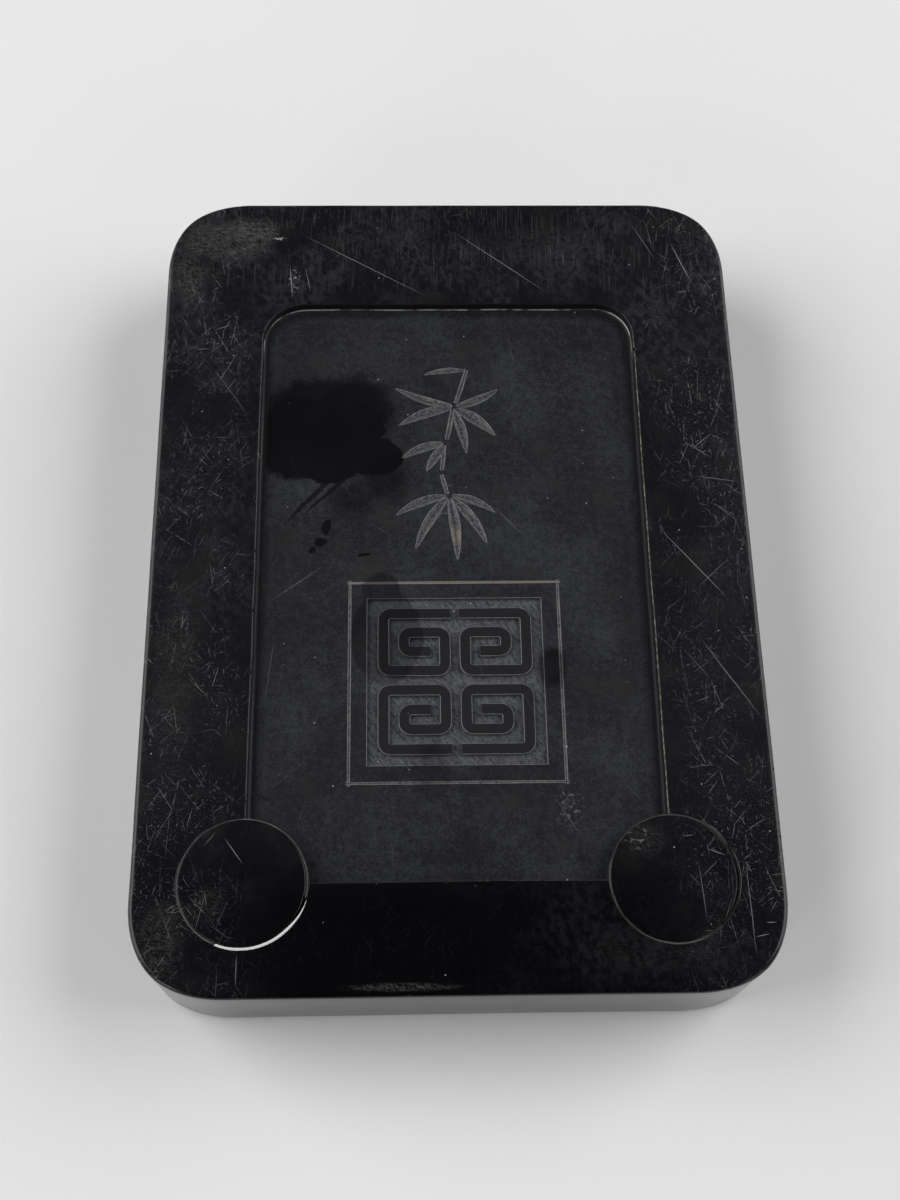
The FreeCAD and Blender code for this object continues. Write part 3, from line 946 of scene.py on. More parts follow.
    def hollow_tone(self, paint: Paint, grain: Value) -> Socket:
        """Tone the grinding face: rubbed clean on the slope, ink dried brown-black in the well."""
        ring = paint.cloud((9.0, 6.0, 3.0), 0.0, 4.0, 24.0)
        slope = paint.mix(grain.smooth(0.3, 0.7), self.soft_grey, self.rubbed_slope)
        tone = paint.mix(ring.smooth(0.36, 0.66, 0.6), slope, self.dried_ink)
        return paint.mix(paint.z.smooth(4.0, 7.5, 0.9), tone, self.ink_crust)

    def inked(self, paint: Paint, edge: Value) -> Value:
        """Give where ink has been spilt on the panel."""
        wavy = paint.warped(6.0, 1.0)
        spilt = [stain.mask(paint, wavy, edge) for stain in self.wear.stains]
        spilt += [run.mask(paint, wavy) for run in self.wear.runs]
        ink = spilt[0]
        for other in spilt[1:]:
            ink = ink.most(other)
        return ink


@dataclass(frozen=True)
class Arc:
    """A pale line on the cement along part of its ring.

    Turn is the middle of the arc and reach half its length, in degrees. Out is its distance from
    the ring's middle.
    """

    turn: float
    reach: float
    out: float
    width: float
    strength: float

    def mask(self, out: Value, angle: Value) -> Value:
        """Give where the line shows."""
        along = abs((angle - (self.turn - 180.0)).math("FLOORED_MODULO", 360.0) - 180.0)
        soft = min(self.reach, 12.0)
        line = out.near(self.out, self.width)
        return line * along.smooth(self.reach, self.reach - soft, self.strength)


@dataclass(frozen=True)
class CementFinish:
    """Lime cement: dark with old ink and pale along some arcs, or nearly white as filler."""

    middle: Point
    body: Tone
    stained: Tone
    pale: Tone
    stain_from: float
    arcs: tuple[Arc, ...] = ()

    def material(self, name: str) -> Material:
        """Write the material."""
        paint = Paint(name)
        blotch = paint.cloud(1.1, detail=4.0, seed=1.0)
        grit = paint.cloud(0.16, detail=4.0, seed=2.0)
        stain = blotch.smooth(self.stain_from, self.stain_from + 0.25)
        tone = paint.mix(stain, self.body, self.stained)
        off_x, off_y = paint.x - self.middle[0], paint.y - self.middle[1]
        out = (off_x * off_x + off_y * off_y).root()
        angle = off_y.math("ARCTAN2", off_x) * math.degrees(1)
        for arc in self.arcs:
            line = arc.mask(out, angle) * (blotch * 1.2 + 0.25).least(1.0)
            tone = paint.mix(line, tone, self.pale)
        darker = tuple(0.6 * part for part in self.body)
        tone = paint.mix(grit.smooth(0.62, 0.40) * 0.55, tone, darker)
        return paint.finish(tone, 0.75 + grit * 0.2, grit, 0.06, 0.3)


# ---------------- the stone


@dataclass(frozen=True)
class Seal:
    """A square seal: a V-cut border, and a sunk ground on which a squared spiral fret stands."""

    middle: Point = (0.15, -22.0)
    border_half: float = 18.05
    border_width: float = 0.44
    run_past: float = 0.5
    ground_half: float = 15.05
    ground_depth: float = 0.7
    bar: float = 1.9
    gap: float = 1.6
    bend: float = 1.25
    edge: float = 0.11
    ground_steps: int = 72

    def square(self, half: float) -> tuple[Point, Point]:
        """Give the low and high corners of a square round the seal's middle."""
        (x, y) = self.middle
        return (x - half, y - half), (x + half, y + half)

    def border(self, surface: float) -> list[Object]:
        """Cut the border as four strokes that run a little past each other."""
        cutters = []
        reach, far = self.border_half, self.border_half + self.run_past
        for number in range(4):
            turn = Matrix.Rotation(math.pi / 2 * number, 2)
            start, end = (Vector(self.middle) + turn @ Vector(place)
                          for place in ((-far, -reach), (far, -reach)))
            stroke = Stroke(tuple(start), tuple(end), self.border_width, blunt=0.86, swell=1.0,
                            seed=3.0 + number, steps=60)
            cutters.append(stroke.cutter(f"border_{number}", surface))
        return cutters

    def ground(self, surface: float) -> Object:
        """Build the solid that sinks the ground, with a floor left rough by the chisel."""
        half, count = self.ground_half, self.ground_steps
        steps = [half * (2 * step / count - 1) for step in range(count + 1)]
        build = bmesh.new()
        floor = [[build.verts.new(self.on_ground(x, y, surface) * MM) for y in steps]
                 for x in steps]
        for row, following in zip(floor, floor[1:]):
            for index in range(count):
                build.faces.new((row[index], following[index],
                                 following[index + 1], row[index + 1]))
        border = ([floor[index][0] for index in range(count)]
                  + [floor[count][index] for index in range(count)]
                  + [floor[index][count] for index in range(count, 0, -1)]
                  + [floor[0][index] for index in range(count, 0, -1)])
        section = ((0.0, -self.edge * 0.8), (3 * self.edge, self.edge * 1.6), (3 * self.edge, 1.0))
        rows = [border]
        for out, height in section:
            share = 1 + out / half
            rows.append([build.verts.new(self.lifted(point.co / MM, share, surface + height) * MM)
                         for point in border])
        join(build, rows)
        build.faces.new(rows[-1])
        return closed("seal_ground", build)

    def on_ground(self, x: float, y: float, surface: float) -> Vector:
        """Give a point of the rough floor, by its place from the seal's middle."""
        rough = 0.035 * stray((x, y), 0.9, 4.0) + 0.05 * stray((x, y), 4.0, 5.0)
        return Vector((self.middle[0] + x, self.middle[1] + y, surface - self.ground_depth + rough))

    def lifted(self, point: Vector, share: float, height: float) -> Vector:
        """Give a point of the ground's edge moved out by a share, at a height."""
        return Vector((self.middle[0] + (point.x - self.middle[0]) * share,
                       self.middle[1] + (point.y - self.middle[1]) * share, height))

    def spiral(self) -> list[Vector]:
        """Give the middle line of one quarter's spiral, its bends rounded."""
        step, half = self.bar + self.gap, self.bar / 2
        inner, outer = self.gap / 2 + half, 4 * self.bar + 3.5 * self.gap - half
        corners = [(inner - half, outer), (outer, outer), (outer, inner), (inner, inner),
                   (inner, outer - step), (outer - step, outer - step),
                   (outer - step, inner + step), (inner + step - half, inner + step)]
        line = [Vector(corners[0])]
        for before, here, after in zip(corners, corners[1:], corners[2:]):
            here, back, ahead = Vector(here), Vector(before), Vector(after)
            back, ahead = (back - here).normalized(), (ahead - here).normalized()
            middle = here + (back + ahead) * self.bend
            for sine, cosine in quarter(7):
                line.append(middle - ahead * self.bend * cosine - back * self.bend * sine)
        return line + [Vector(corners[-1])]

    def fret(self, surface: float) -> Object:
        """Build the four spirals as one solid, by mirroring a quarter across both middle lines."""
        bar = loft("fret_bar", self.bar_rings(self.spiral(), surface))
        tree = Growth("mirrored_fret", middle=Vector((*self.middle, 0.0)) * MM)
        middle = tree.given["middle"].socket
        whole = tree.geometry
        for axis in ((-1, 1, 1), (1, -1, 1)):
            twin = tree.node("GeometryNodeTransform", {}, {"Geometry": whole, "Scale": axis})
            twin = tree.node("GeometryNodeFlipFaces", {}, {"Mesh": twin.outputs[0]}).outputs[0]
            join = tree.node("GeometryNodeJoinGeometry", {}, {})
            for part in (whole, twin):
                tree.nodes.links.new(part, join.inputs[0])
            whole = join.outputs[0]
        placed = tree.node("GeometryNodeTransform", {}, {"Geometry": whole, "Translation": middle})
        tree.end(placed.outputs[0], None)
        bar.data = tree.run(bar)
        return bar

    def bar_rings(self, line: Sequence[Vector], surface: float) -> list[Ring]:
        """Give a bar's sections along a line: a flat top with broken edges and drafted sides."""
        rings = []
        for index, place in enumerate(line):
            before, after = line[max(index - 1, 0)], line[min(index + 1, len(line) - 1)]
            side = Vector((before.y - after.y, after.x - before.x)).normalized()
            half = self.bar / 2 + 0.03 * stray(place, 2.5, 6.0)
            neck = half - 3 * self.edge
            section = ((-half - 0.08, -1.6), (-half, -self.edge * 0.9), (-neck, self.edge * 1.7),
                       (-neck, 2.0), (neck, 2.0), (neck, self.edge * 1.7), (half, -self.edge * 0.9),
                       (half + 0.08, -1.6))
            rings.append([Vector((*(place + side * across), surface + height))
                          for across, height in section])
        return rings

    def cutters(self, surface: float) -> list[Object]:
        """Build all that is cut for the seal."""
        ground = self.ground(surface)
        carve(ground, [self.fret(surface)])
        return [ground, *self.border(surface)]


@dataclass(frozen=True)
class BambooSpray:
    """An engraved bamboo spray: leaves that hang from the joints of a thin stem."""

    leaves: tuple[tuple[float, float, float, float, float, float], ...] = (
        # root x, root y, tip x, tip y, greatest width, bend
        (0.6, 31.4, -9.9, 35.2, 1.5, 0.05),
        (0.4, 31.0, -9.2, 27.4, 1.9, -0.06),
        (1.2, 31.3, 8.9, 34.8, 1.6, -0.05),
        (1.0, 30.8, 8.2, 25.2, 2.0, 0.06),
        (0.8, 30.4, 2.9, 21.6, 1.7, 0.04),
        (-1.2, 23.6, -8.8, 20.6, 1.7, -0.07),
        (-1.0, 23.2, -4.3, 17.9, 1.6, -0.04),
        (2.9, 38.9, -4.6, 38.0, 1.1, -0.06),
        (-0.8, 12.9, -9.8, 9.2, 1.7, -0.07),
        (-0.7, 12.6, -6.4, 2.6, 1.8, -0.05),
        (-0.3, 12.4, 0.9, 0.4, 1.8, 0.03),
        (0.0, 12.7, 6.1, 3.6, 1.7, 0.06),
        (0.2, 13.1, 7.8, 9.6, 1.4, 0.07),
    )
    stem: tuple[tuple[float, float, float, float, float], ...] = (
        # start x, start y, end x, end y, width
        (3.3, 39.2, 1.1, 31.9, 0.75),
        (0.6, 30.9, -0.6, 24.4, 0.8),
        (-1.1, 23.3, -1.6, 18.1, 0.7),
        (-1.7, 17.3, -0.7, 13.3, 0.7),
    )

    def cutters(self, surface: float) -> list[Object]:
        """Build a cutter for each leaf and each length of the stem."""
        strokes = [Stroke((x, y), (tip_x, tip_y), width, bend, seed=float(number))
                   for number, (x, y, tip_x, tip_y, width, bend) in enumerate(self.leaves)]
        strokes += [Stroke((x, y), (end_x, end_y), width, 0.01, 0.72, 1.0, 30.0 + number)
                    for number, (x, y, end_x, end_y, width) in enumerate(self.stem)]
        return [stroke.cutter(f"stroke_{number}", surface) for number, stroke in enumerate(strokes)]


@dataclass(frozen=True)
class StoneBody:
    """The carved slab: its block, sunk panel, disc sockets, seal, spray and grinding hollow."""

    half: Point
    top: float
    seal: Seal
    spray: BambooSpray
    skin: float = 0.03
    corner: float = 10.0
    corner_ease: float = 11.3
    back_arris: float = 0.85
    face_arris: float = 1.4
    panel_low: Point = (-34.3, -57.0)
    panel_high: Point = (34.3, 52.0)
    panel_corners: tuple[float, float, float, float] = (2.0, 6.4, 7.4, 2.0)
    panel_ease: float = 1.5
    panel_depth: float = 2.3
    panel_cove: float = 0.65
    panel_edge: float = 0.16
    socket_radius: float = 10.6
    socket_middle: Point = (34.5, -56.9)
    socket_depth: float = 5.0
    hollow_half: Point = (44.0, 65.5)
    hollow_corner: float = 9.0
    hollow_lip: float = 1.2
    hollow_cove: float = 3.6
    hollow_cove_steps: int = 10
    hollow_floor_steps: int = 34
    slope_depth: float = 2.45
    slope_fall: float = 0.6
    worn_depth: float = 0.3
    brow_from: float = 14.0
    brow_run: float = 32.0
    well_depth: float = 9.0

    def block(self) -> Object:
        """Build the sawn block: upright sides, eased corners and rounded arrises."""
        reach = (self.half[0] - self.skin, self.half[1] - self.skin)
        outline = Outline((-reach[0], -reach[1]), reach, (self.corner,) * 4, self.corner_ease, 0.05,
                          seed=1.0, corner_steps=36, side_steps=48)
        low = [(self.face_arris * (sine - 1), self.face_arris * (1 - cosine))
               for sine, cosine in quarter(8)]
        high = [(self.back_arris * (cosine - 1),
                 self.top - self.skin - self.back_arris * (1 - sine))
                for sine, cosine in quarter(10)]
        face_pad = (-self.face_arris - 0.6, 0.0)
        back_pad = (-self.back_arris - 0.5, self.top - self.skin)
        middle = [(0.0, self.top * share) for share in (0.3, 0.55, 0.8)]
        return loft("stone_body_carved", outline.rings([face_pad, *low, *middle, *high, back_pad]))

    def panel(self) -> Object:
        """Build the solid that sinks the panel: a broken edge, a near-upright wall and a cove."""
        outline = Outline(self.panel_low, self.panel_high, self.panel_corners, self.panel_ease,
                          wander=0.16, wander_size=11.0, seed=2.0)
        surface, floor = self.top - self.skin, self.top - self.panel_depth
        edge, cove = self.panel_edge, self.panel_cove
        section = [(3 * edge, 1.2), (3 * edge, 2 * edge), (0.0, -edge)]
        rings = outline.rings([(out, surface + height) for out, height in section])
        rings += outline.rings([(-0.06 - cove * (1 - cosine), floor + cove * (1 - sine))
                                for sine, cosine in quarter(8)])
        return loft("panel", rings + [outline.ring(-cove - 1.4, floor)])

    def socket(self, side: Side) -> Object:
        """Build the solid that bores a disc's socket."""
        surface, edge = self.top - self.skin, 0.1
        section = ((0.0, -self.socket_depth), (0.0, -edge), (3 * edge, 2 * edge), (3 * edge, 1.0))
        return loft("socket", [[self.on_socket(side, turn, out, surface + height)
                                for turn in range(360)] for out, height in section])

    def on_socket(self, side: Side, turn: float, out: float, height: float) -> Vector:
        """Give a point of a socket's wall at a turn in degrees; the bore wanders a little."""
        way = compass(turn)
        radius = self.socket_radius + out + 0.05 * stray(way * 4, 1.0, 8.0 + side.value)
        middle = Vector((side.value * self.socket_middle[0], self.socket_middle[1]))
        return Vector((*(middle + way * radius), height))

    def hollow_level(self, place: Vector) -> float:
        """Give how deep the grinding face is at a place: a worn slope, a brow and the ink well."""
        slope = self.slope_depth + self.slope_fall * place.y / self.hollow_half[1]
        worn = self.worn_depth * math.exp(-(place.x / 26) ** 2 - ((place.y + 12) / 30) ** 2)
        fall = min(max((place.y - self.brow_from) / self.brow_run, 0.0), 1.0)
        fall = fall * fall * (3 - 2 * fall)
        return (slope + worn) * (1 - fall) + self.well_depth * fall

    def hollow(self) -> Object:
        """Build the solid that hollows the grinding face, from its rounded lip to its middle."""
        outline = Outline((-self.hollow_half[0], -self.hollow_half[1]), self.hollow_half,
                          (self.hollow_corner,) * 4, 3.0, 0.12, seed=9.0, side_steps=60)
        places = outline.places()
        lip = self.hollow_lip
        rings = [outline.ring(lip + 0.9, -1.0), outline.ring(lip, -0.12)]
        for angle in (20, 35, 50, 65, 78):
            turn = math.radians(angle)
            rings.append(outline.ring(lip - lip * math.sin(turn), lip - lip * math.cos(turn)))
        for rise, cosine in quarter(self.hollow_cove_steps):
            inward = self.hollow_cove * (1 - cosine)
            rings.append([self.in_hollow(outline.moved(place, normal, -inward, 0.0), rise)
                          for place, normal in places])
        rim = rings[-1]
        for step in range(1, self.hollow_floor_steps):
            share = 1 - step / self.hollow_floor_steps
            rings.append([self.in_hollow(Vector((point.x * share, point.y * share, 0)), 1.0)
                          for point in rim])
        return loft("hollow", rings)

    def in_hollow(self, place: Vector, rise: float) -> Vector:
        """Give a point of the hollow's wall or floor, a share of the way up from its lip."""
        level = self.hollow_level(place)
        return Vector((place.x, place.y, self.hollow_lip + (level - self.hollow_lip) * rise))

    def chips(self) -> Object:
        """Scatter small broken lumps along the back's arris and the panel's edge, to be cut out."""
        arris = Outline((-self.half[0], -self.half[1]), self.half, (self.corner,) * 4,
                        self.corner_ease)
        lip = Outline(self.panel_low, self.panel_high, self.panel_corners, self.panel_ease)
        mesh = bpy.data.meshes.new("chip_lines")
        points, edges = [], []
        for outline, out, height in ((arris, -0.15, self.top - 0.2), (lip, 0.12, self.top - 0.1)):
            ring = [point * MM for point in outline.ring(out, height)]
            start = len(points)
            points += ring
            edges += [(start + index, start + (index + 1) % len(ring))
                      for index in range(len(ring))]
        mesh.from_pydata(points, edges, [])
        host = shown("chip_lines", mesh)
        tree = Growth("chips", spacing=11.3 * MM, smallest=0.12 * MM, largest=0.42 * MM, seed=11)
        host.data = self.scatter(tree).run(host)
        return host

    @staticmethod
    def scatter(tree: Growth) -> Growth:
        """Write the tree that sets rough lumps of random size and turn along lines."""
        curve = tree.node("GeometryNodeMeshToCurve", {}, {"Mesh": tree.geometry}).outputs[0]
        spots = tree.node("GeometryNodeResampleCurve", {"mode": "LENGTH"},
                          {"Curve": curve, "Length": tree.given["spacing"]}).outputs[0]
        seed = tree.given["seed"].socket
        lump = tree.node("GeometryNodeMeshIcoSphere", {},
                         {"Radius": 1.0, "Subdivisions": 1}).outputs[0]
        size = tree.node("FunctionNodeRandomValue", {"data_type": "FLOAT"},
                         {2: tree.given["smallest"], 3: tree.given["largest"],
                          "Seed": seed}).outputs[1]
        turn = tree.node("FunctionNodeRandomValue", {"data_type": "FLOAT_VECTOR"},
                         {0: (-3.0,) * 3, 1: (3.0,) * 3, "Seed": seed}).outputs[0]
        keep = tree.node("FunctionNodeRandomValue", {"data_type": "BOOLEAN"},
                         {"Probability": 0.55, "Seed": seed}).outputs[3]
        placed = tree.node("GeometryNodeInstanceOnPoints", {},
                           {"Points": spots, "Selection": keep, "Instance": lump, "Rotation": turn,
                            "Scale": size})
        tree.end(placed.outputs[0], None)
        return tree

    def build(self, material: Material) -> Object:
        """Carve the block and finish it."""
        block = self.block()
        floor = self.top - self.panel_depth
        cutters = [self.panel(), self.hollow(), *(self.socket(side) for side in Side)]
        cutters += self.seal.cutters(floor) + self.spray.cutters(floor) + [self.chips()]
        carve(block, cutters)
        return settle(block, material, "stone_body")


# ---------------- discs


@dataclass(frozen=True)
class LetInDisc:
    """A round stone disc in its socket, the cement round it and, on the left, the white filler."""

    side: Side
    stone: StoneBody
    shift: Point
    open_from: float
    open_to: float
    open_depth: float
    radius: float = 10.2
    thickness: float = 4.4
    edge: float = 0.16
    bed: float = 0.55
    nick_rare: float = 0.45
    nick_depth: float = 0.9
    seam_sink: float = 0.1
    seam_steps: int = 720
    filler_steps: int = 260

    @property
    def label(self) -> str:
        """Give the side's word, as the nodes are named."""
        return self.side.name.lower()

    def on_disc(self, turn: float, inset: float, height: float) -> Vector:
        """Give a point of the disc's edge at a turn in degrees."""
        way = compass(turn)
        socket = self.stone.socket_middle
        middle = Vector((self.side.value * socket[0] + self.shift[0], socket[1] + self.shift[1]))
        wander = 0.03 * stray(way * 5, 1.0, 20.0 + self.side.value)
        nick = max(stray(way * 21, 1.0, 24.0 + self.side.value) - self.nick_rare, 0.0)
        nick = nick * self.nick_depth if height > self.stone.top - 1 else 0.0
        radius = self.radius - inset + wander - nick
        return Vector((*(middle + way * radius), height))

    def disc(self, material: Material) -> Object:
        """Build the disc, its top edge broken and a little nicked."""
        top = self.stone.top - self.stone.skin * 0.8
        section = [(0.3, top - self.thickness), (0.0, top - self.thickness + 0.3), (0.0, top - 0.7)]
        section += [(self.edge * (1 - cosine), top - self.edge * (1 - sine))
                    for sine, cosine in quarter(6)]
        section += [(self.edge + 0.3, top), (self.edge + 1.0, top)]
        body = loft(f"{self.label}_disc_worked", [[self.on_disc(turn, inset, height)
                                                   for turn in range(0, 360)]
                                                  for inset, height in section])
        return settle(body, material, f"{self.label}_corner_disc")

    def opened(self, turn: float) -> float:
        """Give how far the seam stands open at a turn, from 0 to 1, with soft ends."""
        along = (turn - self.open_from) % 360
        reach = self.open_to - self.open_from
        inside = min(along, reach - along)
        return min(max(inside / 4 + 0.5, 0.0), 1.0) if along < reach + 8 else 0.0

    def bedding(self, material: Material) -> Object:
        """Build the cement: a cup under and round the disc whose crumbly top shows in the seam."""
        top = self.stone.top - self.stone.skin
        low = self.stone.top - self.stone.socket_depth
        rings = []
        for share, height in ((1.0, low), (1.0, None), (0.75, None), (0.5, None), (0.25, None),
                              (0.0, None), (0.0, low + self.bed)):
            ring = []
            for step in range(self.seam_steps):
                turn = 360 * step / self.seam_steps
                outer = self.stone.on_socket(self.side, turn, -0.01, 0.0)
                inner = self.on_disc(turn, -0.01, 0.0)
                place = inner.lerp(outer, share)
                sink = self.seam_sink + 0.05 * stray(place, 0.22, 30.0)
                sink += 0.05 * stray(place, 1.4, 31.0)
                sink += self.open_depth * self.opened(turn)
                place.z = top - max(sink, 0.02) if height is None else height
                ring.append(place)
            rings.append(ring)
        body = loft(f"{self.label}_bedding_crumbled", rings)
        return settle(body, material, f"{self.label}_disc_bedding")

    def filler(self, material: Material) -> Object:
        """Build the white filler: a ragged crescent pressed into the open part of the seam."""
        top = self.stone.top
        rings = []
        for step in range(self.filler_steps + 1):
            share = step / self.filler_steps
            turn = self.open_from - 1 + (self.open_to - self.open_from) * share
            thin = min(0.82, 30 * share + 0.3, 2.2 * (1 - share) + 0.14)
            inner = self.on_disc(turn, -0.01, 0.0)
            outer = self.stone.on_socket(self.side, turn, 0.06, 0.0)
            inner = outer.lerp(inner, thin)
            crumb = 0.035 * stray((turn, 0.0), 0.6, 40.0)
            ring = []
            for across, sink in ((0.0, 1.3), (0.0, 0.16), (0.12, 0.05), (0.5, 0.0), (0.88, 0.05),
                                 (1.0, 0.16), (1.0, 1.3)):
                place = inner.lerp(outer, across)
                rough = 0.05 * abs(stray((turn * 0.6, across * 3), 1.0, 41.0)) + abs(crumb)
                place.z = top - sink - (rough if sink < 1 else 0.0) * (1.5 - thin)
                ring.append(place)
            rings.append(ring)
        body = loft("left_filler_pressed", rings)
        return settle(body, material, "left_seam_filler")


# ---------------- studio


@dataclass(frozen=True)
class Softbox:
    """A square soft light that looks at the stone."""

    place: tuple[float, float, float]
    size: float
    power: float

    def hang(self, name: str, target: Vector) -> None:
        """Hang the light and aim it."""
        lamp = bpy.data.lights.new(name, "AREA")
        lamp.shape = "SQUARE"
        lamp.size = self.size
        lamp.energy = self.power
        body = bpy.data.objects.new(name, lamp)
        body.location = self.place
        body.rotation_euler = (target - Vector(self.place)).to_track_quat("-Z", "Y").to_euler()
        bpy.context.scene.collection.objects.link(body)


@dataclass(frozen=True)
class Studio:
    """A pale floor, soft lights to the sides and the camera over the near end of the stone."""

    stone_top: float
    camera_place: tuple[float, float, float] = (-0.0077, -0.1126, 0.2636)
    camera_turn: tuple[float, float, float] = (23.2, -1.23, -1.01)
    lens: float = 46.3
    floor_half: float = 2.0
    floor_tone: Tone = (0.80, 0.80, 0.79)
    lights: tuple[Softbox, ...] = (
        Softbox((-1.60, 0.35, 1.05), 1.9, 43.0),
        Softbox((1.65, 0.45, 1.05), 1.9, 40.0),
        Softbox((-0.85, -0.95, 0.45), 0.4, 2.8),
        Softbox((0.95, -0.95, 0.45), 0.4, 1.4),
    )
    sky: Tone = (0.044, 0.046, 0.057)

    def floor(self) -> None:
        """Lay the floor."""
        half = self.floor_half
        mesh = bpy.data.meshes.new("floor")
        corners = [(-half, -half, 0), (half, -half, 0), (half, half, 0), (-half, half, 0)]
        mesh.from_pydata(corners, [], [(0, 1, 2, 3)])
        body = shown("floor", mesh)
        paint = Paint("pale floor")
        shade = paint.cloud(90.0, detail=2.0)
        darker = tuple(0.97 * part for part in self.floor_tone)
        tone = paint.mix(shade.smooth(0.3, 0.7), self.floor_tone, darker)
        body.data.materials.append(paint.finish(tone, 0.8 + shade * 0.1, shade, 0.01, 0.2))

    def camera(self) -> None:
        """Set up the camera."""
        lens = bpy.data.cameras.new("camera")
        lens.lens = self.lens
        lens.sensor_fit = "AUTO"
        lens.clip_start = 0.01
        body = bpy.data.objects.new("camera", lens)
        body.location = self.camera_place
        body.rotation_euler = tuple(math.radians(angle) for angle in self.camera_turn)
        bpy.context.scene.collection.objects.link(body)
        bpy.context.scene.camera = body

    def build(self) -> None:
        """Set up the whole studio."""
        self.floor()
        self.camera()
        for number, box in enumerate(self.lights, start=1):
            box.hang(f"softbox_{number}", Vector((0.0, 0.0, self.stone_top)))
        world = bpy.data.worlds.new("studio")
        world.use_nodes = True
        sky = world.node_tree.nodes["Background"]
        sky.inputs["Color"].default_value = (*self.sky, 1.0)
        bpy.context.scene.world = world
        bpy.context.scene.view_settings.view_transform = "Standard"


# ---------------- the wear of this stone

STONE_WEAR = SlateWear(
    scuffed=1.0,
    scratches=scratched(
        (-29.0, 68.7, -2.6, 52.9, 0.17, 0.62),
        (0.6, 69.0, 19.4, 53.9, 0.17, 0.66),
        (35.3, 70.7, 39.9, 61.4, 0.19, 0.42),
        (42.5, 66.4, 46.4, 56.1, 0.20, 0.85),
        (43.0, 54.5, 45.2, 54.7, 0.19, 0.60),
        (41.7, 22.8, 47.2, 18.9, 0.16, 0.55),
        (42.8, 15.6, 51.8, 14.2, 0.16, 0.55),
        (46.0, 10.5, 50.6, 6.3, 0.14, 0.40),
        (36.0, 5.7, 47.9, -9.0, 0.17, 0.70),
        (41.2, -14.4, 51.8, -31.2, 0.17, 0.60),
        (42.0, -6.5, 48.5, -0.4, 0.14, 0.45),
        (46.1, -53.0, 46.5, -70.5, 0.16, 0.55),
        (46.5, -66.5, 49.0, -66.0, 0.17, 0.70),
        (48.4, -64.2, 50.2, -64.2, 0.17, 0.70),
        (-35.0, -67.8, -35.0, -73.3, 0.16, 0.55),
        (-29.6, 61.0, -29.0, 53.0, 0.31, 0.55),
        (-26.8, 60.5, -25.6, 54.5, 0.20, 0.45),
        (-32.4, -7.8, -21.7, 0.0, 0.16, 0.50),
        (-30.6, -12.8, -32.2, -26.7, 0.14, 0.40),
        (-43.6, 39.0, -36.0, 27.6, 0.14, 0.34),
        (7.2, 11.1, 12.8, 4.9, 0.16, 0.45),
        (16.2, -43.0, 20.4, -49.8, 0.16, 0.38),
        (19.0, -41.0, 16.8, -46.0, 0.17, 0.34),
    ),
    stains=(
        Stain(((-27.5, 25.2, 8.0, 9.2), (-19.5, 26.4, 8.4, 9.4), (-31.5, 24.0, 4.6, 7.2),
               (-13.6, 20.8, 5.4, 4.4), (-22.0, 19.0, 6.0, 3.6)), 0.96, 0.16, 0.55),
        Stain(((-24.5, 30.2, 11.4, 9.4), (-17.0, 30.8, 8.6, 8.6)), 0.90, 0.45, 0.6),
        Stain(((-12.0, 16.0, 6.4, 6.0), (-18.0, 12.5, 6.0, 5.0)), 0.62, 0.7, 0.7),
        Stain(((-22.0, 6.8, 1.1, 1.9), (-22.9, 4.2, 1.3, 0.9), (-24.4, 2.5, 0.8, 0.6),
               (-15.6, 1.4, 1.3, 0.4)), 0.92, 0.25, 1.5),
        Stain(((-12.6, -5.6, 3.6, 3.6), (-11.6, -14.0, 6.4, 9.2)), 0.50, 0.08, 0.06),
        Stain(((16.8, -20.0, 3.4, 4.6),), 0.75, 0.5, 0.5),
        Stain(((-4.2, -38.0, 4.4, 7.0),), 0.40, 0.6, 0.5),
    ),
    runs=scratched(
        (-10.0, 29.4, -31.2, 6.2, 1.6, 0.80),
        (-11.0, 24.6, -28.2, 7.6, 1.1, 0.80),
    ),
    patches=(
        Patch((-41.0, 66.4), (11.5, 6.0), 0.74),
        Patch((-37.0, 69.0), (6.5, 3.4), 0.70),
        Patch((-48.5, 58.0), (4.5, 8.5), 0.45),
        Patch((18.0, 65.0), (16.0, 6.0), 0.22),
        Patch((-47.0, -22.0), (5.0, 24.0), 0.20),
        Patch((-47.5, -66.0), (5.0, 8.0), 0.30),
        Patch((-9.0, -73.5), (11.0, 0.8), 0.60),
        Patch((30.0, -68.0), (15.0, 5.0), 0.10),
    ),
    flakes=(
        Patch((-31.7, 67.2), (1.5, 1.0), 3.0, 0.2),
        Patch((-28.8, 57.5), (1.6, 3.6), 0.8, 0.4),
        Patch((0.0, 11.5), (4.5, 5.5), 0.22, 0.4),
        Patch((18.5, -44.0), (3.4, 4.6), 0.40, 0.4),
    ),
)
DISC_WEAR = SlateWear(
    scuffed=0.75,
    scratches=scratched(
        (-37.8, -49.3, -34.3, -54.1, 0.16, 0.75),
        (-41.0, -51.0, -38.9, -48.4, 0.14, 0.40),
        (39.8, -52.1, 43.2, -53.4, 0.19, 0.60),
        (36.0, -50.2, 38.3, -49.9, 0.16, 0.45),
        (38.5, -54.0, 39.2, -64.5, 0.16, 0.42),
    ),
    patches=(
        Patch((-40.0, -60.5), (3.6, 3.8), 0.22),
        Patch((30.2, -50.5), (4.6, 3.8), 0.26),
    ),
    flakes=(Patch((28.8, -50.3), (3.0, 2.6), 0.40, 0.4),),
    seed=5.0,
)
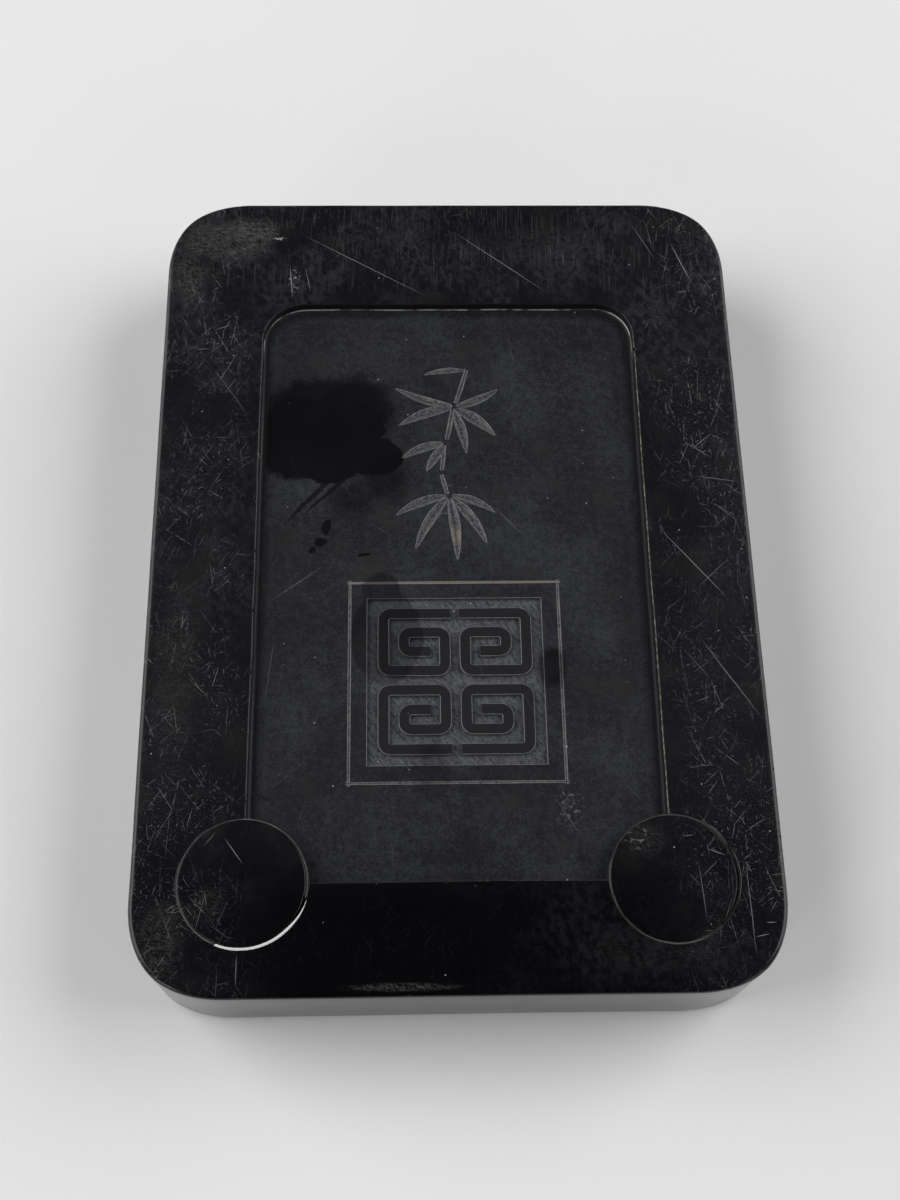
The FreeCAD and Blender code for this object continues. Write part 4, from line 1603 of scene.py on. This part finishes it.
# body, stained, pale, and how high the blotches must be to stain
DARK_CEMENT = ((0.014, 0.013, 0.013), (0.007, 0.007, 0.007), (0.20, 0.195, 0.18), 0.45)
WHITE_FILLER = ((0.72, 0.72, 0.69), (0.45, 0.44, 0.40), (0.8, 0.8, 0.8), 0.66)
LEFT_ARCS = (
    Arc(190.0, 62.0, 10.42, 0.17, 0.75),
    Arc(100.0, 50.0, 10.38, 0.15, 0.60),
    Arc(40.0, 34.0, 10.36, 0.14, 0.45),
    Arc(0.0, 24.0, 10.36, 0.14, 0.60),
    Arc(88.0, 6.0, 10.40, 0.20, 0.95),
)
RIGHT_ARCS = (
    Arc(178.0, 20.0, 10.40, 0.18, 0.75),
    Arc(225.0, 42.0, 10.42, 0.12, 0.45),
    Arc(275.0, 26.0, 10.42, 0.14, 0.75),
    Arc(350.0, 45.0, 10.50, 0.11, 0.60),
    Arc(60.0, 48.0, 10.38, 0.12, 0.34),
    Arc(132.0, 34.0, 10.36, 0.12, 0.40),
)


def main() -> None:
    """Build every piece in order and report each."""
    logging.basicConfig(level=logging.INFO, format="%(message)s")
    low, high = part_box("stone_body")
    stone = StoneBody((high.x / MM, high.y / MM), high.z / MM, Seal(), BambooSpray())
    stone.build(CarvedSlateFinish(STONE_WEAR, stone).material("slate"))

    disc_slate = SlateFinish(DISC_WEAR, stone).material("disc slate")
    reach, near = stone.socket_middle
    cements = {
        side: CementFinish((side.value * reach, near), *DARK_CEMENT, arcs).material(
            f"{side.name.lower()} cement")
        for side, arcs in ((Side.LEFT, LEFT_ARCS), (Side.RIGHT, RIGHT_ARCS))
    }
    white = CementFinish((-reach, near), *WHITE_FILLER).material("white filler")
    discs = (
        LetInDisc(Side.LEFT, stone, (-0.13, 0.13), open_from=248.5, open_to=345.0, open_depth=1.25),
        LetInDisc(Side.RIGHT, stone, (-0.17, 0.0), open_from=312.0, open_to=390.0, open_depth=0.4),
    )
    for disc in discs:
        disc.disc(disc_slate)
        disc.bedding(cements[disc.side])
    discs[0].filler(white)

    Studio(high.z).build()


if __name__ == "__main__":
    main()
